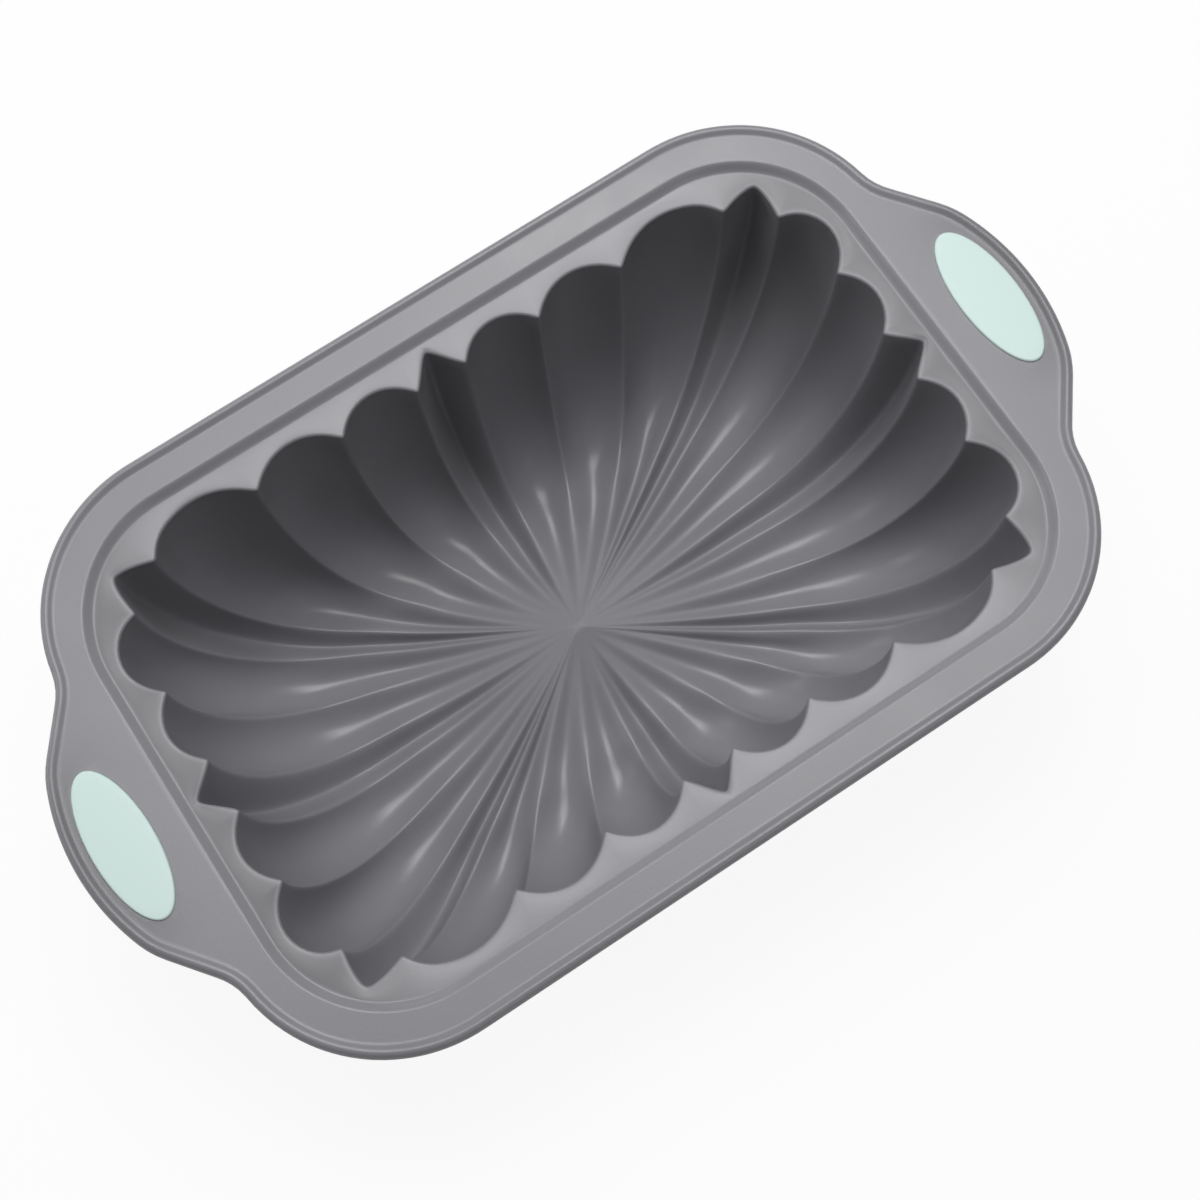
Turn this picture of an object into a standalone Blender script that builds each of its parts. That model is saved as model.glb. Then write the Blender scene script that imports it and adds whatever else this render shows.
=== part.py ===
"""Fluted silicone loaf pan with a steel ring in its rim and two soft grip inlays.

Units are metres, +Z is up. The pan stands on z = 0, its long side lies along X
and its middle is on the Z axis. All sizes are the named values below.
"""

import math

import bmesh
import bpy
import numpy as np
from mathutils import Matrix

MM = 0.001

# Cavity, measured between the ridges that stand into it
CAVITY_LENGTH = 224.8 * MM
CAVITY_WIDTH = 135.4 * MM
CAVITY_CORNER_RADIUS = 26.0 * MM
CAVITY_DEPTH = 69.3 * MM
FLOOR_RISE = 6.0 * MM
LIP_RADIUS = 0.8 * MM

# Cavity profile: share of the half width that the wall takes to turn into the
# floor, the roundness of that turn, and how steadily the floor climbs
WALL_TURN_SHARE = 0.42
WALL_TURN_ROUNDNESS = 2.5
FLOOR_RISE_POWER = 2.8

# Flutes of one quarter, from the middle of the long side to the middle of the
# short side: kind, width along the outline, depth behind the ridges. The two
# pointed flutes at the ends are halved by the quarter's edges, and the widths
# are brought to the outline's length together.
QUARTER_FLUTES = (
    ("pointed", 8.2 * MM, 8.8 * MM),
    ("round", 25.1 * MM, 6.8 * MM),
    ("round", 28.6 * MM, 6.9 * MM),
    ("round", 34.9 * MM, 7.4 * MM),
    ("pointed", 16.6 * MM, 7.6 * MM),
    ("round", 25.0 * MM, 6.4 * MM),
    ("round", 22.9 * MM, 5.6 * MM),
    ("pointed", 8.4 * MM, 7.8 * MM),
)
FLUTE_FADE_POWER = 1.3

# Bulge of the ridges towards the corners, on their way to the middle
LONG_SIDE_BULGE = 0.33
SHORT_SIDE_BULGE = 0.15

# Silicone wall, and the flat cut on which the deepest flutes stand
WALL_THICKNESS = 2.0 * MM
BASE_CUT = 1.1 * MM

# Sunk ledge round the cavity, past the lip of its deepest flutes at the sides
# and at the ends, and the slope up to the outer band
LEDGE_PAST_SIDE_FLUTES = 2.4 * MM
LEDGE_PAST_END_FLUTES = 2.2 * MM
LEDGE_THICKNESS = 2.0 * MM
STEP_CORNER_RADIUS = 36.2 * MM
STEP_SLOPE = 1.3 * MM
STEP_HEIGHT = 3.0 * MM

# Steel ring inside the rim, the silicone on both sides of it, and the holes of
# the pins that held it in the mould
RING_WIDTH = 5.0 * MM
RING_THICKNESS = 1.5 * MM
RING_CLEARANCE = 0.3 * MM
SILICONE_INSIDE_RING_SIDES = 3.3 * MM
SILICONE_INSIDE_RING_ENDS = 2.4 * MM
SILICONE_OUTSIDE_RING = 4.1 * MM
PIN_HOLE_DIAMETER = 3.0 * MM
LONG_PIN_SPACING = 120.0 * MM
SHORT_PIN_SPACING = 60.0 * MM

# Rim outline: a rounded rectangle with a handle at each end
RIM_CORNER_RADIUS = 48.6 * MM
HANDLE_END_RADIUS = 71.7 * MM
HANDLE_END_HALF_ANGLE = math.radians(20.4)
HANDLE_CORNER_RADIUS = 28.0 * MM
HANDLE_CORNER_TURN = math.radians(17.3)
HANDLE_NECK_RADIUS = 18.0 * MM
HANDLE_PAST_GRIP = 5.5 * MM

# Grip inlays in the handles, and the silicone between them and the ring
GRIP_WIDTH = 18.0 * MM
GRIP_LENGTH = 47.0 * MM
GRIP_THICKNESS = 2.2 * MM
GRIP_PROUD = 0.3 * MM
GRIP_EDGE = 0.5 * MM
GRIP_CLEARANCE = 0.3 * MM
SILICONE_BEFORE_GRIP = 1.2 * MM

# Steps of the mesh
ROUND_FLUTE_STEPS = 5
POINTED_FLUTE_STOPS = (0.0, 0.4, 0.8)
FLOOR_STOPS = (0.1, 0.3, 0.6, 0.92)
WALL_ANGLES = (90.0, 85.0, 77.0, 65.0, 50.0, 34.0, 17.0)
STEEPEST_ANGLE = 89.9
EDGE_STEPS = 4
ARC_STEPS = 24
RING_CORNER_STEPS = 8
GRIP_STEPS = 48
HOLE_STEPS = 16
REACH_STEPS = 17
CUTTER_OVERRUN = 1.0 * MM
SHARP_ANGLE = math.radians(35.0)

# Outline of the cavity
HALF_LENGTH = CAVITY_LENGTH / 2
HALF_WIDTH = CAVITY_WIDTH / 2
CORNER_ARC = math.pi / 2 * CAVITY_CORNER_RADIUS
LONG_STRAIGHT = HALF_LENGTH - CAVITY_CORNER_RADIUS
SHORT_STRAIGHT = HALF_WIDTH - CAVITY_CORNER_RADIUS
QUARTER_OUTLINE = LONG_STRAIGHT + CORNER_ARC + SHORT_STRAIGHT
MEAN_HALF_SIZE = (HALF_LENGTH + HALF_WIDTH) / 2
FLOOR_START = 1.0 - WALL_TURN_SHARE

# Step round the ledge
SIDE_FLUTE_DEPTH = QUARTER_FLUTES[0][2]
END_FLUTE_DEPTH = QUARTER_FLUTES[-1][2]
STEP_HALF_LENGTH = HALF_LENGTH + END_FLUTE_DEPTH + LIP_RADIUS + LEDGE_PAST_END_FLUTES
STEP_HALF_WIDTH = HALF_WIDTH + SIDE_FLUTE_DEPTH + LIP_RADIUS + LEDGE_PAST_SIDE_FLUTES

# Channel of the steel ring, and the rim and the grips outside it
CHANNEL_WIDTH = RING_WIDTH + 2 * RING_CLEARANCE
CHANNEL_THICKNESS = RING_THICKNESS + 2 * RING_CLEARANCE
RING_HALF_LENGTH = (STEP_HALF_LENGTH + STEP_SLOPE + SILICONE_INSIDE_RING_ENDS
                    + CHANNEL_WIDTH / 2)
RING_HALF_WIDTH = (STEP_HALF_WIDTH + STEP_SLOPE + SILICONE_INSIDE_RING_SIDES
                   + CHANNEL_WIDTH / 2)
RIM_PAST_RING = CHANNEL_WIDTH / 2 + SILICONE_OUTSIDE_RING
RING_CORNER_RADIUS = RIM_CORNER_RADIUS - RIM_PAST_RING
RIM_HALF_WIDTH = RING_HALF_WIDTH + RIM_PAST_RING
RIM_CORNER_X = RING_HALF_LENGTH - RING_CORNER_RADIUS
RIM_CORNER_Y = RING_HALF_WIDTH - RING_CORNER_RADIUS
GRIP_CENTRE = (RING_HALF_LENGTH + CHANNEL_WIDTH / 2 + SILICONE_BEFORE_GRIP
               + GRIP_CLEARANCE + GRIP_WIDTH / 2)
HALF_OVERALL_LENGTH = GRIP_CENTRE + GRIP_WIDTH / 2 + HANDLE_PAST_GRIP

# Heights above the ledge
BAND_HEIGHT = STEP_HEIGHT
UNDERSIDE_HEIGHT = -LEDGE_THICKNESS
RIM_THICKNESS = BAND_HEIGHT - UNDERSIDE_HEIGHT
EDGE_RADIUS = RIM_THICKNESS / 2
RING_HEIGHT = UNDERSIDE_HEIGHT + RIM_THICKNESS / 2
GRIP_TOP = BAND_HEIGHT + GRIP_PROUD
GRIP_BOTTOM = GRIP_TOP - GRIP_THICKNESS


def clear_scene():
    """Remove every object, so that the model starts from nothing."""
    for item in list(bpy.data.objects):
        bpy.data.objects.remove(item, do_unlink=True)


def make_material(name, colour, roughness, metallic):
    """Return a plain Principled BSDF material."""
    material = bpy.data.materials.new(name)
    material.use_nodes = True
    shader = material.node_tree.nodes["Principled BSDF"]
    shader.inputs["Base Color"].default_value = (*colour, 1.0)
    shader.inputs["Roughness"].default_value = roughness
    shader.inputs["Metallic"].default_value = metallic
    material.diffuse_color = (*colour, 1.0)
    return material


def grey_silicone():
    """Satin mid-grey silicone of the pan."""
    return make_material("grey_silicone", (0.27, 0.27, 0.29), 0.45, 0.0)


def mint_silicone():
    """Pale mint silicone of the grips."""
    return make_material("mint_silicone", (0.66, 0.86, 0.78), 0.5, 0.0)


def stainless_steel():
    """Stainless steel of the hidden ring."""
    return make_material("stainless_steel", (0.6, 0.6, 0.61), 0.35, 1.0)


def add_object(name, model, material=None):
    """Turn a bmesh into an object with its faces pointing out."""
    bmesh.ops.recalc_face_normals(model, faces=model.faces)
    mesh = bpy.data.meshes.new(name)
    model.to_mesh(mesh)
    model.free()
    if material:
        mesh.materials.append(material)
    item = bpy.data.objects.new(name, mesh)
    bpy.context.scene.collection.objects.link(item)
    return item


def shade_smooth(item):
    """Shade an object smooth, with its real corners left sharp."""
    item.data.shade_smooth()
    item.data.set_sharp_from_angle(angle=SHARP_ANGLE)


def skin(model, rings, closed=False):
    """Lay faces between rings of points, and return the rings' vertices."""
    loops = [[model.verts.new(point) for point in ring] for ring in rings]
    following = loops[1:] + loops[:1] if closed else loops[1:]
    for low, high in zip(loops, following):
        for step in range(len(low)):
            after = (step + 1) % len(low)
            model.faces.new((low[step], low[after], high[after], high[step]))
    return loops


def fan(model, loop, centre):
    """Close a ring of vertices with triangles round a centre point."""
    tip = model.verts.new(centre)
    for step in range(len(loop)):
        model.faces.new((loop[step], loop[(step + 1) % len(loop)], tip))


def smoothstep(low, high, value):
    """Return a smooth climb from 0 at low to 1 at high."""
    share = np.clip((value - low) / (high - low), 0.0, 1.0)
    return share * share * (3.0 - 2.0 * share)


def lay_out_flutes():
    """Return each flute of the quarter as kind, start, end, crest and depth."""
    scale = QUARTER_OUTLINE / sum(width for kind, width, depth in QUARTER_FLUTES)
    flutes = []
    end = 0.0
    for kind, width, depth in QUARTER_FLUTES:
        start = end
        end = start + width * scale
        flutes.append([kind, start, end, (start + end) / 2, depth])
    flutes[0][3] = flutes[0][1]
    flutes[-1][3] = flutes[-1][2]
    return flutes


FLUTES = lay_out_flutes()


def flute_depth(place):
    """Return the depth of the flutes behind the ridges, along the outline."""
    folded = np.abs(place) % (2 * QUARTER_OUTLINE)
    folded = np.minimum(folded, 2 * QUARTER_OUTLINE - folded)
    result = np.zeros_like(folded)
    for kind, start, end, crest, depth in FLUTES:
        reach = max(crest - start, end - crest)
        away = np.abs(folded - crest)
        if kind == "pointed":
            height = depth * (1.0 - away / reach)
        else:
            radius = (reach ** 2 + depth ** 2) / (2 * depth)
            height = np.sqrt(np.maximum(radius ** 2 - away ** 2, 0.0)) - radius + depth
        inside = (folded >= start) & (folded <= end)
        result = np.where(inside, np.maximum(result, height), result)
    return result


def grown_depth(place, share, growth):
    """Return the flutes' depth at one level, grown outwards all round."""
    fade = share ** FLUTE_FADE_POWER
    result = flute_depth(place) * fade
    if growth > 0.0:
        for shift in np.linspace(-growth, growth, REACH_STEPS):
            height = math.sqrt(max(growth ** 2 - shift ** 2, 0.0))
            result = np.maximum(result, flute_depth(place + shift / share) * fade + height)
    return result


def quarter_places():
    """Return where the rings of one quarter have their points."""
    places = []
    for kind, start, end, crest, depth in FLUTES:
        if kind == "round":
            places.extend(np.linspace(start, end, ROUND_FLUTE_STEPS, endpoint=False))
            continue
        if crest > start:
            places.extend(start + (crest - start) * stop for stop in POINTED_FLUTE_STOPS)
        if end > crest:
            places.append(crest)
            places.extend(end - (end - crest) * stop for stop in POINTED_FLUTE_STOPS[:0:-1])
    places.append(QUARTER_OUTLINE)
    return np.array(places)


def ring_places():
    """Return each ring point's place in its quarter, and its side in x and y."""
    quarter = quarter_places()
    back = quarter[::-1]
    place = np.concatenate([back[:-1], quarter[:-1], back[:-1], quarter[:-1]])
    count = len(quarter) - 1
    side_x = np.repeat([1.0, -1.0, -1.0, 1.0], count)
    side_y = np.repeat([1.0, 1.0, -1.0, -1.0], count)
    return place, side_x, side_y


PLACE, SIDE_X, SIDE_Y = ring_places()

# Stretches of the quarter outline, and how far along its stretch each point is
ON_LONG = PLACE < LONG_STRAIGHT
ON_CORNER = ~ON_LONG & (PLACE < LONG_STRAIGHT + CORNER_ARC)
ALONG_LONG = PLACE / LONG_STRAIGHT
ALONG_CORNER = (PLACE - LONG_STRAIGHT) / CORNER_ARC
ALONG_SHORT = np.clip((PLACE - LONG_STRAIGHT - CORNER_ARC) / SHORT_STRAIGHT, 0.0, 1.0)


def by_stretch(long_side, corner, short_side):
    """Return one value for each ring point, chosen by its stretch."""
    return np.select([ON_LONG, ON_CORNER], [long_side, corner], short_side)


def rounded_rectangle(half_length, half_width, radius):
    """Return the quarter points and outward directions of a rounded rectangle."""
    corner_x = half_length - radius
    corner_y = half_width - radius
    angle = math.pi / 2 * (1.0 - ALONG_CORNER)
    x = by_stretch(ALONG_LONG * corner_x, corner_x + radius * np.cos(angle), half_length)
    y = by_stretch(half_width, corner_y + radius * np.sin(angle),
                   (1.0 - ALONG_SHORT) * corner_y)
    out_x = by_stretch(0.0, np.cos(angle), 1.0)
    out_y = by_stretch(1.0, np.sin(angle), 0.0)
    return x, y, out_x, out_y


def full_ring(x, y, z):
    """Return a whole ring of points from its quarter values."""
    return np.stack([x * SIDE_X, y * SIDE_Y, np.broadcast_to(z, x.shape)], axis=1)


def wall_level(degrees):
    """Return share of the plan, depth and tilt of the wall at one angle."""
    angle = math.radians(min(degrees, STEEPEST_ANGLE))
    power = 2.0 / WALL_TURN_ROUNDNESS
    share = 1.0 - WALL_TURN_SHARE * (1.0 - math.cos(angle) ** power)
    inward = (WALL_TURN_SHARE * MEAN_HALF_SIZE * power
              * math.cos(angle) ** (power - 1.0) * math.sin(angle))
    tilt = math.atan2(inward, CAVITY_DEPTH * math.cos(angle))
    return share, CAVITY_DEPTH * math.sin(angle), tilt


def floor_level(portion):
    """Return share of the plan, depth and tilt of the floor."""
    climb = FLOOR_RISE * (1.0 - portion) ** FLOOR_RISE_POWER
    return FLOOR_START * portion, CAVITY_DEPTH - climb, math.pi / 2


def cavity_levels():
    """Return the levels of the floor and the wall, from the middle upwards."""
    levels = [floor_level(portion) for portion in FLOOR_STOPS]
    return levels + [wall_level(degrees) for degrees in WALL_ANGLES]


def level_at_depth(depth):
    """Return the wall's level at one depth below the ledge."""
    return wall_level(math.degrees(math.asin(depth / CAVITY_DEPTH)))


def level_ring(level, growth):
    """Return one ring of the cavity surface, grown outwards by growth."""
    share, depth, tilt = level
    x, y, out_x, out_y = rounded_rectangle(HALF_LENGTH, HALF_WIDTH, CAVITY_CORNER_RADIUS)
    long_weight = 1.0 - smoothstep(0.5, 1.0, x / HALF_LENGTH)
    short_weight = 1.0 - smoothstep(0.4, 0.98, y / HALF_WIDTH)
    x = x * share * (1.0 + LONG_SIDE_BULGE * (1.0 - share) * long_weight)
    y = y * share * (1.0 + SHORT_SIDE_BULGE * (1.0 - share) * short_weight)
    out = grown_depth(PLACE, share, growth)
    sideways = out * math.cos(tilt)
    return full_ring(x + out_x * sideways, y + out_y * sideways, -depth - out * math.sin(tilt))


def lip_ring():
    """Return the ring where the cavity's rounded lip meets the ledge."""
    x, y, out_x, out_y = rounded_rectangle(HALF_LENGTH, HALF_WIDTH, CAVITY_CORNER_RADIUS)
    out = grown_depth(PLACE, 1.0, LIP_RADIUS)
    return full_ring(x + out_x * out, y + out_y * out, 0.0)


def step_ring(growth, height):
    """Return a ring parallel to the step's foot."""
    x, y, out_x, out_y = rounded_rectangle(STEP_HALF_LENGTH + growth, STEP_HALF_WIDTH + growth,
                                           STEP_CORNER_RADIUS + growth)
    return full_ring(x, y, height)


def arc(start, heading, radius, turn):
    """Return points along an arc that turns left, or right with turn below 0."""
    side = math.copysign(1.0, turn)
    to_centre = radius * side * np.array([-math.sin(heading), math.cos(heading)])
    angles = np.linspace(0.0, turn, ARC_STEPS + 1)[:, None]
    across = np.array([to_centre[1], -to_centre[0]]) * side
    points = start + to_centre * (1.0 - np.cos(angles)) + across * np.sin(np.abs(angles))
    return points, points[-1], heading + turn


def handle_outline():
    """Return the handle's quarter outline, and the angle where it meets the corner."""
    corner = np.array([RIM_CORNER_X, RIM_CORNER_Y])
    start = np.array([HALF_OVERALL_LENGTH, 0.0])
    end_arc, place, heading = arc(start, math.pi / 2, HANDLE_END_RADIUS, HANDLE_END_HALF_ANGLE)
    corner_arc, place, heading = arc(place, heading, HANDLE_CORNER_RADIUS, HANDLE_CORNER_TURN)

    # The flank runs straight until the neck's arc just touches the rim's corner
    along = np.array([math.cos(heading), math.sin(heading)])
    right = np.array([math.sin(heading), -math.cos(heading)])
    neck = place + HANDLE_NECK_RADIUS * right
    apart = RIM_CORNER_RADIUS + HANDLE_NECK_RADIUS
    back = float((neck - corner) @ along)
    square = float((neck - corner) @ (neck - corner))
    flank = -back - math.sqrt(back ** 2 - square + apart ** 2)
    neck = neck + flank * along
    join_angle = math.atan2(neck[1] - corner[1], neck[0] - corner[0])
    neck_turn = join_angle + math.pi / 2 - heading
    neck_arc, place, heading = arc(place + flank * along, heading, HANDLE_NECK_RADIUS, neck_turn)
    return np.vstack([end_arc, corner_arc[1:], neck_arc]), join_angle


def rim_outline():
    """Return the quarter points of the rim's outer outline."""
    handle, join_angle = handle_outline()
    angle = math.pi / 2 - ALONG_CORNER * (math.pi / 2 - join_angle)
    short_y = (1.0 - ALONG_SHORT) * handle[-1][1]
    short_x = np.interp(short_y, handle[:, 1], handle[:, 0])
    x = by_stretch(ALONG_LONG * RIM_CORNER_X,
                   RIM_CORNER_X + RIM_CORNER_RADIUS * np.cos(angle), short_x)
    y = by_stretch(RIM_HALF_WIDTH, RIM_CORNER_Y + RIM_CORNER_RADIUS * np.sin(angle), short_y)
    return x, y


def inset_rim(inset, height):
    """Return the rim's outline moved inwards by inset."""
    x, y = rim_outline()
    ring = full_ring(x, y, height)
    tangent = np.roll(ring, -1, axis=0) - np.roll(ring, 1, axis=0)
    inward = np.stack([-tangent[:, 1], tangent[:, 0]], axis=1)
    inward /= np.linalg.norm(inward, axis=1, keepdims=True)
    ring[:, :2] += inward * inset
    return ring


def edge_rings():
    """Return the rings of the rim's full-round outer edge, top to bottom."""
    rings = []
    for step in range(EDGE_STEPS + 1):
        angle = math.pi * step / EDGE_STEPS
        inset = EDGE_RADIUS * (1.0 - math.sin(angle))
        rings.append(inset_rim(inset, UNDERSIDE_HEIGHT + EDGE_RADIUS * (1.0 + math.cos(angle))))
    return rings


def cavity_rings():
    """Return the rings of the cavity, from its middle up to the lip."""
    levels = cavity_levels() + [level_at_depth(LIP_RADIUS)]
    return [level_ring(level, 0.0) for level in levels] + [lip_ring()]


def outside_rings():
    """Return the rings of the outer wall, from the rim's underside to the middle."""
    top = level_ring(level_at_depth(LEDGE_THICKNESS), WALL_THICKNESS)
    top[:, 2] = UNDERSIDE_HEIGHT
    return [top] + [level_ring(level, WALL_THICKNESS) for level in reversed(cavity_levels())]


def base_height():
    """Return the height of the flat cut under the deepest flutes."""
    return min(ring[:, 2].min() for ring in outside_rings()) + BASE_CUT


def rounded_path(half_length, half_width, radius):
    """Return a closed path with rounded corners, as points with no height."""
    points = []
    for quarter, (side_x, side_y) in enumerate(((1, 1), (-1, 1), (-1, -1), (1, -1))):
        for step in range(RING_CORNER_STEPS + 1):
            angle = math.pi / 2 * (quarter + step / RING_CORNER_STEPS)
            points.append((side_x * (half_length - radius) + radius * math.cos(angle),
                           side_y * (half_width - radius) + radius * math.sin(angle)))
    return points


def ring_solid(name, width, thickness, material=None):
    """Return a flat ring of rectangular section along the steel ring's path."""
    rings = []
    for across, up in ((-1, -1), (1, -1), (1, 1), (-1, 1)):
        growth = across * width / 2
        height = RING_HEIGHT + up * thickness / 2
        path = rounded_path(RING_HALF_LENGTH + growth, RING_HALF_WIDTH + growth,
                            RING_CORNER_RADIUS + growth)
        rings.append([(x, y, height) for x, y in path])
    model = bmesh.new()
    skin(model, rings, closed=True)
    return add_object(name, model, material)


def add_post(model, centre, half_x, half_y, low, high, steps):
    """Add an upright post of elliptic section to a bmesh."""
    placed = Matrix.Translation((centre[0], centre[1], (low + high) / 2))
    sized = Matrix.Diagonal((half_x, half_y, high - low, 1.0))
    bmesh.ops.create_cone(model, cap_ends=True, segments=steps, radius1=1.0, radius2=1.0,
                          depth=1.0, matrix=placed @ sized)


def pin_hole_cutter():
    """Return one cutter for the holes of the pins under the steel ring."""
    model = bmesh.new()
    radius = PIN_HOLE_DIAMETER / 2
    bottom = UNDERSIDE_HEIGHT - CUTTER_OVERRUN
    for side in (1, -1):
        for half in (1, -1):
            on_side = (half * LONG_PIN_SPACING / 2, side * RING_HALF_WIDTH)
            on_end = (side * RING_HALF_LENGTH, half * SHORT_PIN_SPACING / 2)
            for centre in (on_side, on_end):
                add_post(model, centre, radius, radius, bottom, RING_HEIGHT, HOLE_STEPS)
    return add_object("pin_holes", model)


def recess_cutter():
    """Return one cutter for the recesses of both grips."""
    model = bmesh.new()
    for side in (-1, 1):
        add_post(model, (side * GRIP_CENTRE, 0.0), GRIP_WIDTH / 2 + GRIP_CLEARANCE,
                 GRIP_LENGTH / 2 + GRIP_CLEARANCE, GRIP_BOTTOM - GRIP_CLEARANCE,
                 GRIP_TOP + CUTTER_OVERRUN, GRIP_STEPS)
    return add_object("grip_recesses", model)


def cut(item, cutter):
    """Take a cutter away from an object, and keep the cutter out of sight."""
    cutter.hide_render = True
    cutter.display_type = "WIRE"
    cutter.parent = item
    modifier = item.modifiers.new(cutter.name, "BOOLEAN")
    modifier.operation = "DIFFERENCE"
    modifier.solver = "EXACT"
    modifier.object = cutter


def make_pan_body(base):
    """Return the fluted silicone body with its rim and handles."""
    cavity = cavity_rings()
    outside = outside_rings()
    for ring in outside:
        ring[:, 2] = np.maximum(ring[:, 2], base)
    ledge = [step_ring(0.0, 0.0), step_ring(STEP_SLOPE, BAND_HEIGHT)]
    middle = FLOOR_RISE - CAVITY_DEPTH
    model = bmesh.new()
    loops = skin(model, cavity + ledge + edge_rings() + outside)
    fan(model, loops[0], (0.0, 0.0, middle))
    fan(model, loops[-1], (0.0, 0.0, middle - WALL_THICKNESS))
    body = add_object("pan_body", model, grey_silicone())
    cut(body, ring_solid("ring_channel", CHANNEL_WIDTH, CHANNEL_THICKNESS))
    cut(body, pin_hole_cutter())
    cut(body, recess_cutter())
    shade_smooth(body)
    return body


def make_rim_frame():
    """Return the steel ring that stiffens the rim."""
    return ring_solid("rim_frame", RING_WIDTH, RING_THICKNESS, stainless_steel())


def make_grip(name, side, material):
    """Return one grip inlay with a bevelled edge."""
    model = bmesh.new()
    add_post(model, (side * GRIP_CENTRE, 0.0), GRIP_WIDTH / 2, GRIP_LENGTH / 2,
             GRIP_BOTTOM, GRIP_TOP, GRIP_STEPS)
    grip = add_object(name, model, material)
    bevel = grip.modifiers.new("edge", "BEVEL")
    bevel.width = GRIP_EDGE
    bevel.segments = 1
    bevel.limit_method = "ANGLE"
    bevel.angle_limit = SHARP_ANGLE
    shade_smooth(grip)
    return grip


def main():
    """Model the whole pan and stand it on its flutes."""
    clear_scene()
    base = base_height()
    root = bpy.data.objects.new("loaf_pan", None)
    root.location = (0.0, 0.0, -base)
    bpy.context.scene.collection.objects.link(root)
    mint = mint_silicone()
    pieces = [make_pan_body(base), make_rim_frame(),
              make_grip("grip_left", -1, mint), make_grip("grip_right", 1, mint)]
    for piece in pieces:
        piece.parent = root


main()
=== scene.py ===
"""Fluted silicone loaf pan in a plain studio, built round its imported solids.

Laid out as a Blender add-on: sizes and colours are properties, each piece has
an operator, and main() runs them in order. Units are metres, +Z is up.
"""

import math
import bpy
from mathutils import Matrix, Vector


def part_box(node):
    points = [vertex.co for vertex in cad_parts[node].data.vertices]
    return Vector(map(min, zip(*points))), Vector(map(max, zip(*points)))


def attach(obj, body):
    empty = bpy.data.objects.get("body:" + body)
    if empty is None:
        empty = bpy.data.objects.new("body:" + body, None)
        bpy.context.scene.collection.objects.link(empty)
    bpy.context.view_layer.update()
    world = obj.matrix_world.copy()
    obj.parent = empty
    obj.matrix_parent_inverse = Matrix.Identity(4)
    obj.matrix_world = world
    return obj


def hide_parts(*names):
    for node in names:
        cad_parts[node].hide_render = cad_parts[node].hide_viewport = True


bl_info = {
    "name": "Fluted Loaf Pan",
    "version": (1, 0, 0),
    "blender": (4, 5, 0),
    "location": "View3D > Sidebar > Loaf Pan",
    "description": "Builds a fluted silicone loaf pan with soft grips, and a plain studio",
    "category": "Object",
}

import bmesh
import bpy
from bpy.props import FloatProperty, FloatVectorProperty, PointerProperty
from mathutils import Matrix, Vector

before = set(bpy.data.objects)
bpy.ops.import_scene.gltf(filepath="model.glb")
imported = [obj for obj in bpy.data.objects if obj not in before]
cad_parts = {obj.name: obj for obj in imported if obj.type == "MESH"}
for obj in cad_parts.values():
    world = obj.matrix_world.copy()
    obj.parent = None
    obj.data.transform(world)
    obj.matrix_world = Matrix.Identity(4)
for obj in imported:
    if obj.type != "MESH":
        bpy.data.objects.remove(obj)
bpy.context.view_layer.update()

MM = 0.001
BODY = "root"

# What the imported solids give: the lowest and highest corners of their nodes
PAN_LOW, PAN_HIGH = (Vector(corner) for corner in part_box("pan_body"))
RING_LOW, RING_HIGH = (Vector(corner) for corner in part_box("rim_frame"))
GRIP_LOW, GRIP_HIGH = (Vector(corner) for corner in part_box("grip_right"))

# Spans of one quarter of the fluted outline, from the middle of the long side
# to the middle of the short side: shape of each flute, and columns of the mesh
FLUTE_SHAPES = ("pointed", "round", "round", "round", "pointed", "round", "round", "pointed")
FLUTE_COLUMNS = (8, 20, 22, 26, 18, 20, 18, 8)
QUARTER_COLUMNS = sum(FLUTE_COLUMNS)
QUARTERS = 4
FLUTE_COUNT = len(FLUTE_SHAPES)

# Rows of the mesh in each band of the moulding
FLOOR_ROWS = 22
WALL_ROWS = 34
LIP_ROWS = 5
LEDGE_ROWS = 10
STEP_ROWS = 8
BAND_ROWS = 8
BEAD_ROWS = 8
EDGE_ROWS = 14
UNDERSIDE_ROWS = 8
FILLET_ROWS = 4
OUTER_WALL_ROWS = 26
OUTER_FLOOR_ROWS = 14

# How far the columns bunch up at both ends of a flute
COLUMN_BUNCHING = 0.7 / (2 * math.pi)
# Directions to each side that a flute's growth outwards is taken in
GROWTH_STEPS = 5
# Share of the outer wall over which it leaves the upright
OUTER_WALL_BLEND = 0.08
# Shares of the half length and half width between which the ridges' bend ends
LONG_BULGE_END = (0.5, 1.0)
SHORT_BULGE_END = (0.4, 0.98)
# Shares of the floor, from its middle, between which it sinks, and climbs again
DIP_START = (0.0, 0.6)
DIP_END = (0.7, 1.0)
# Least cosine of the wall's angle, where the wall lies as flat as the floor
LEAST_COSINE = 0.0001
# Points closer than this are one point
WELD = 0.003 * MM

# Values that the moulding's mesh carries for its material
PAINTED_SHADING = "wear"
MATT = "matt"
# Shares of the floor, from its middle, between which the rubbed matt middle ends
MATT_FLOOR = (0.55, 0.95)
# Shares of the ledge's width between which its painted shade and sheen set in, and end
LEDGE_PAINT_START = (0.0, 0.3)
LEDGE_PAINT_END = (0.8, 1.0)
# Distances from the pan's middle between which painted shade darkens its handles,
# and shares of their band's width
SHADED_HANDLE = (141.0 * MM, 154.0 * MM)
SHADED_HANDLE_BAND = (0.3, 0.9)

# Steps round the cutters and the grips, and how far a cutter reaches past
CHANNEL_STEPS = 16
HOLE_STEPS = 24
GRIP_STEPS = 128
GRIP_EDGE_STEPS = 6
GRIP_CROWN_STEPS = 8
OVERRUN = 1.0 * MM

QUARTER_TURN = math.pi / 2
HALF_TURN = math.pi
SHARP_ANGLE = math.radians(38.0)
SILICONE_IOR = 1.43
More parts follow.
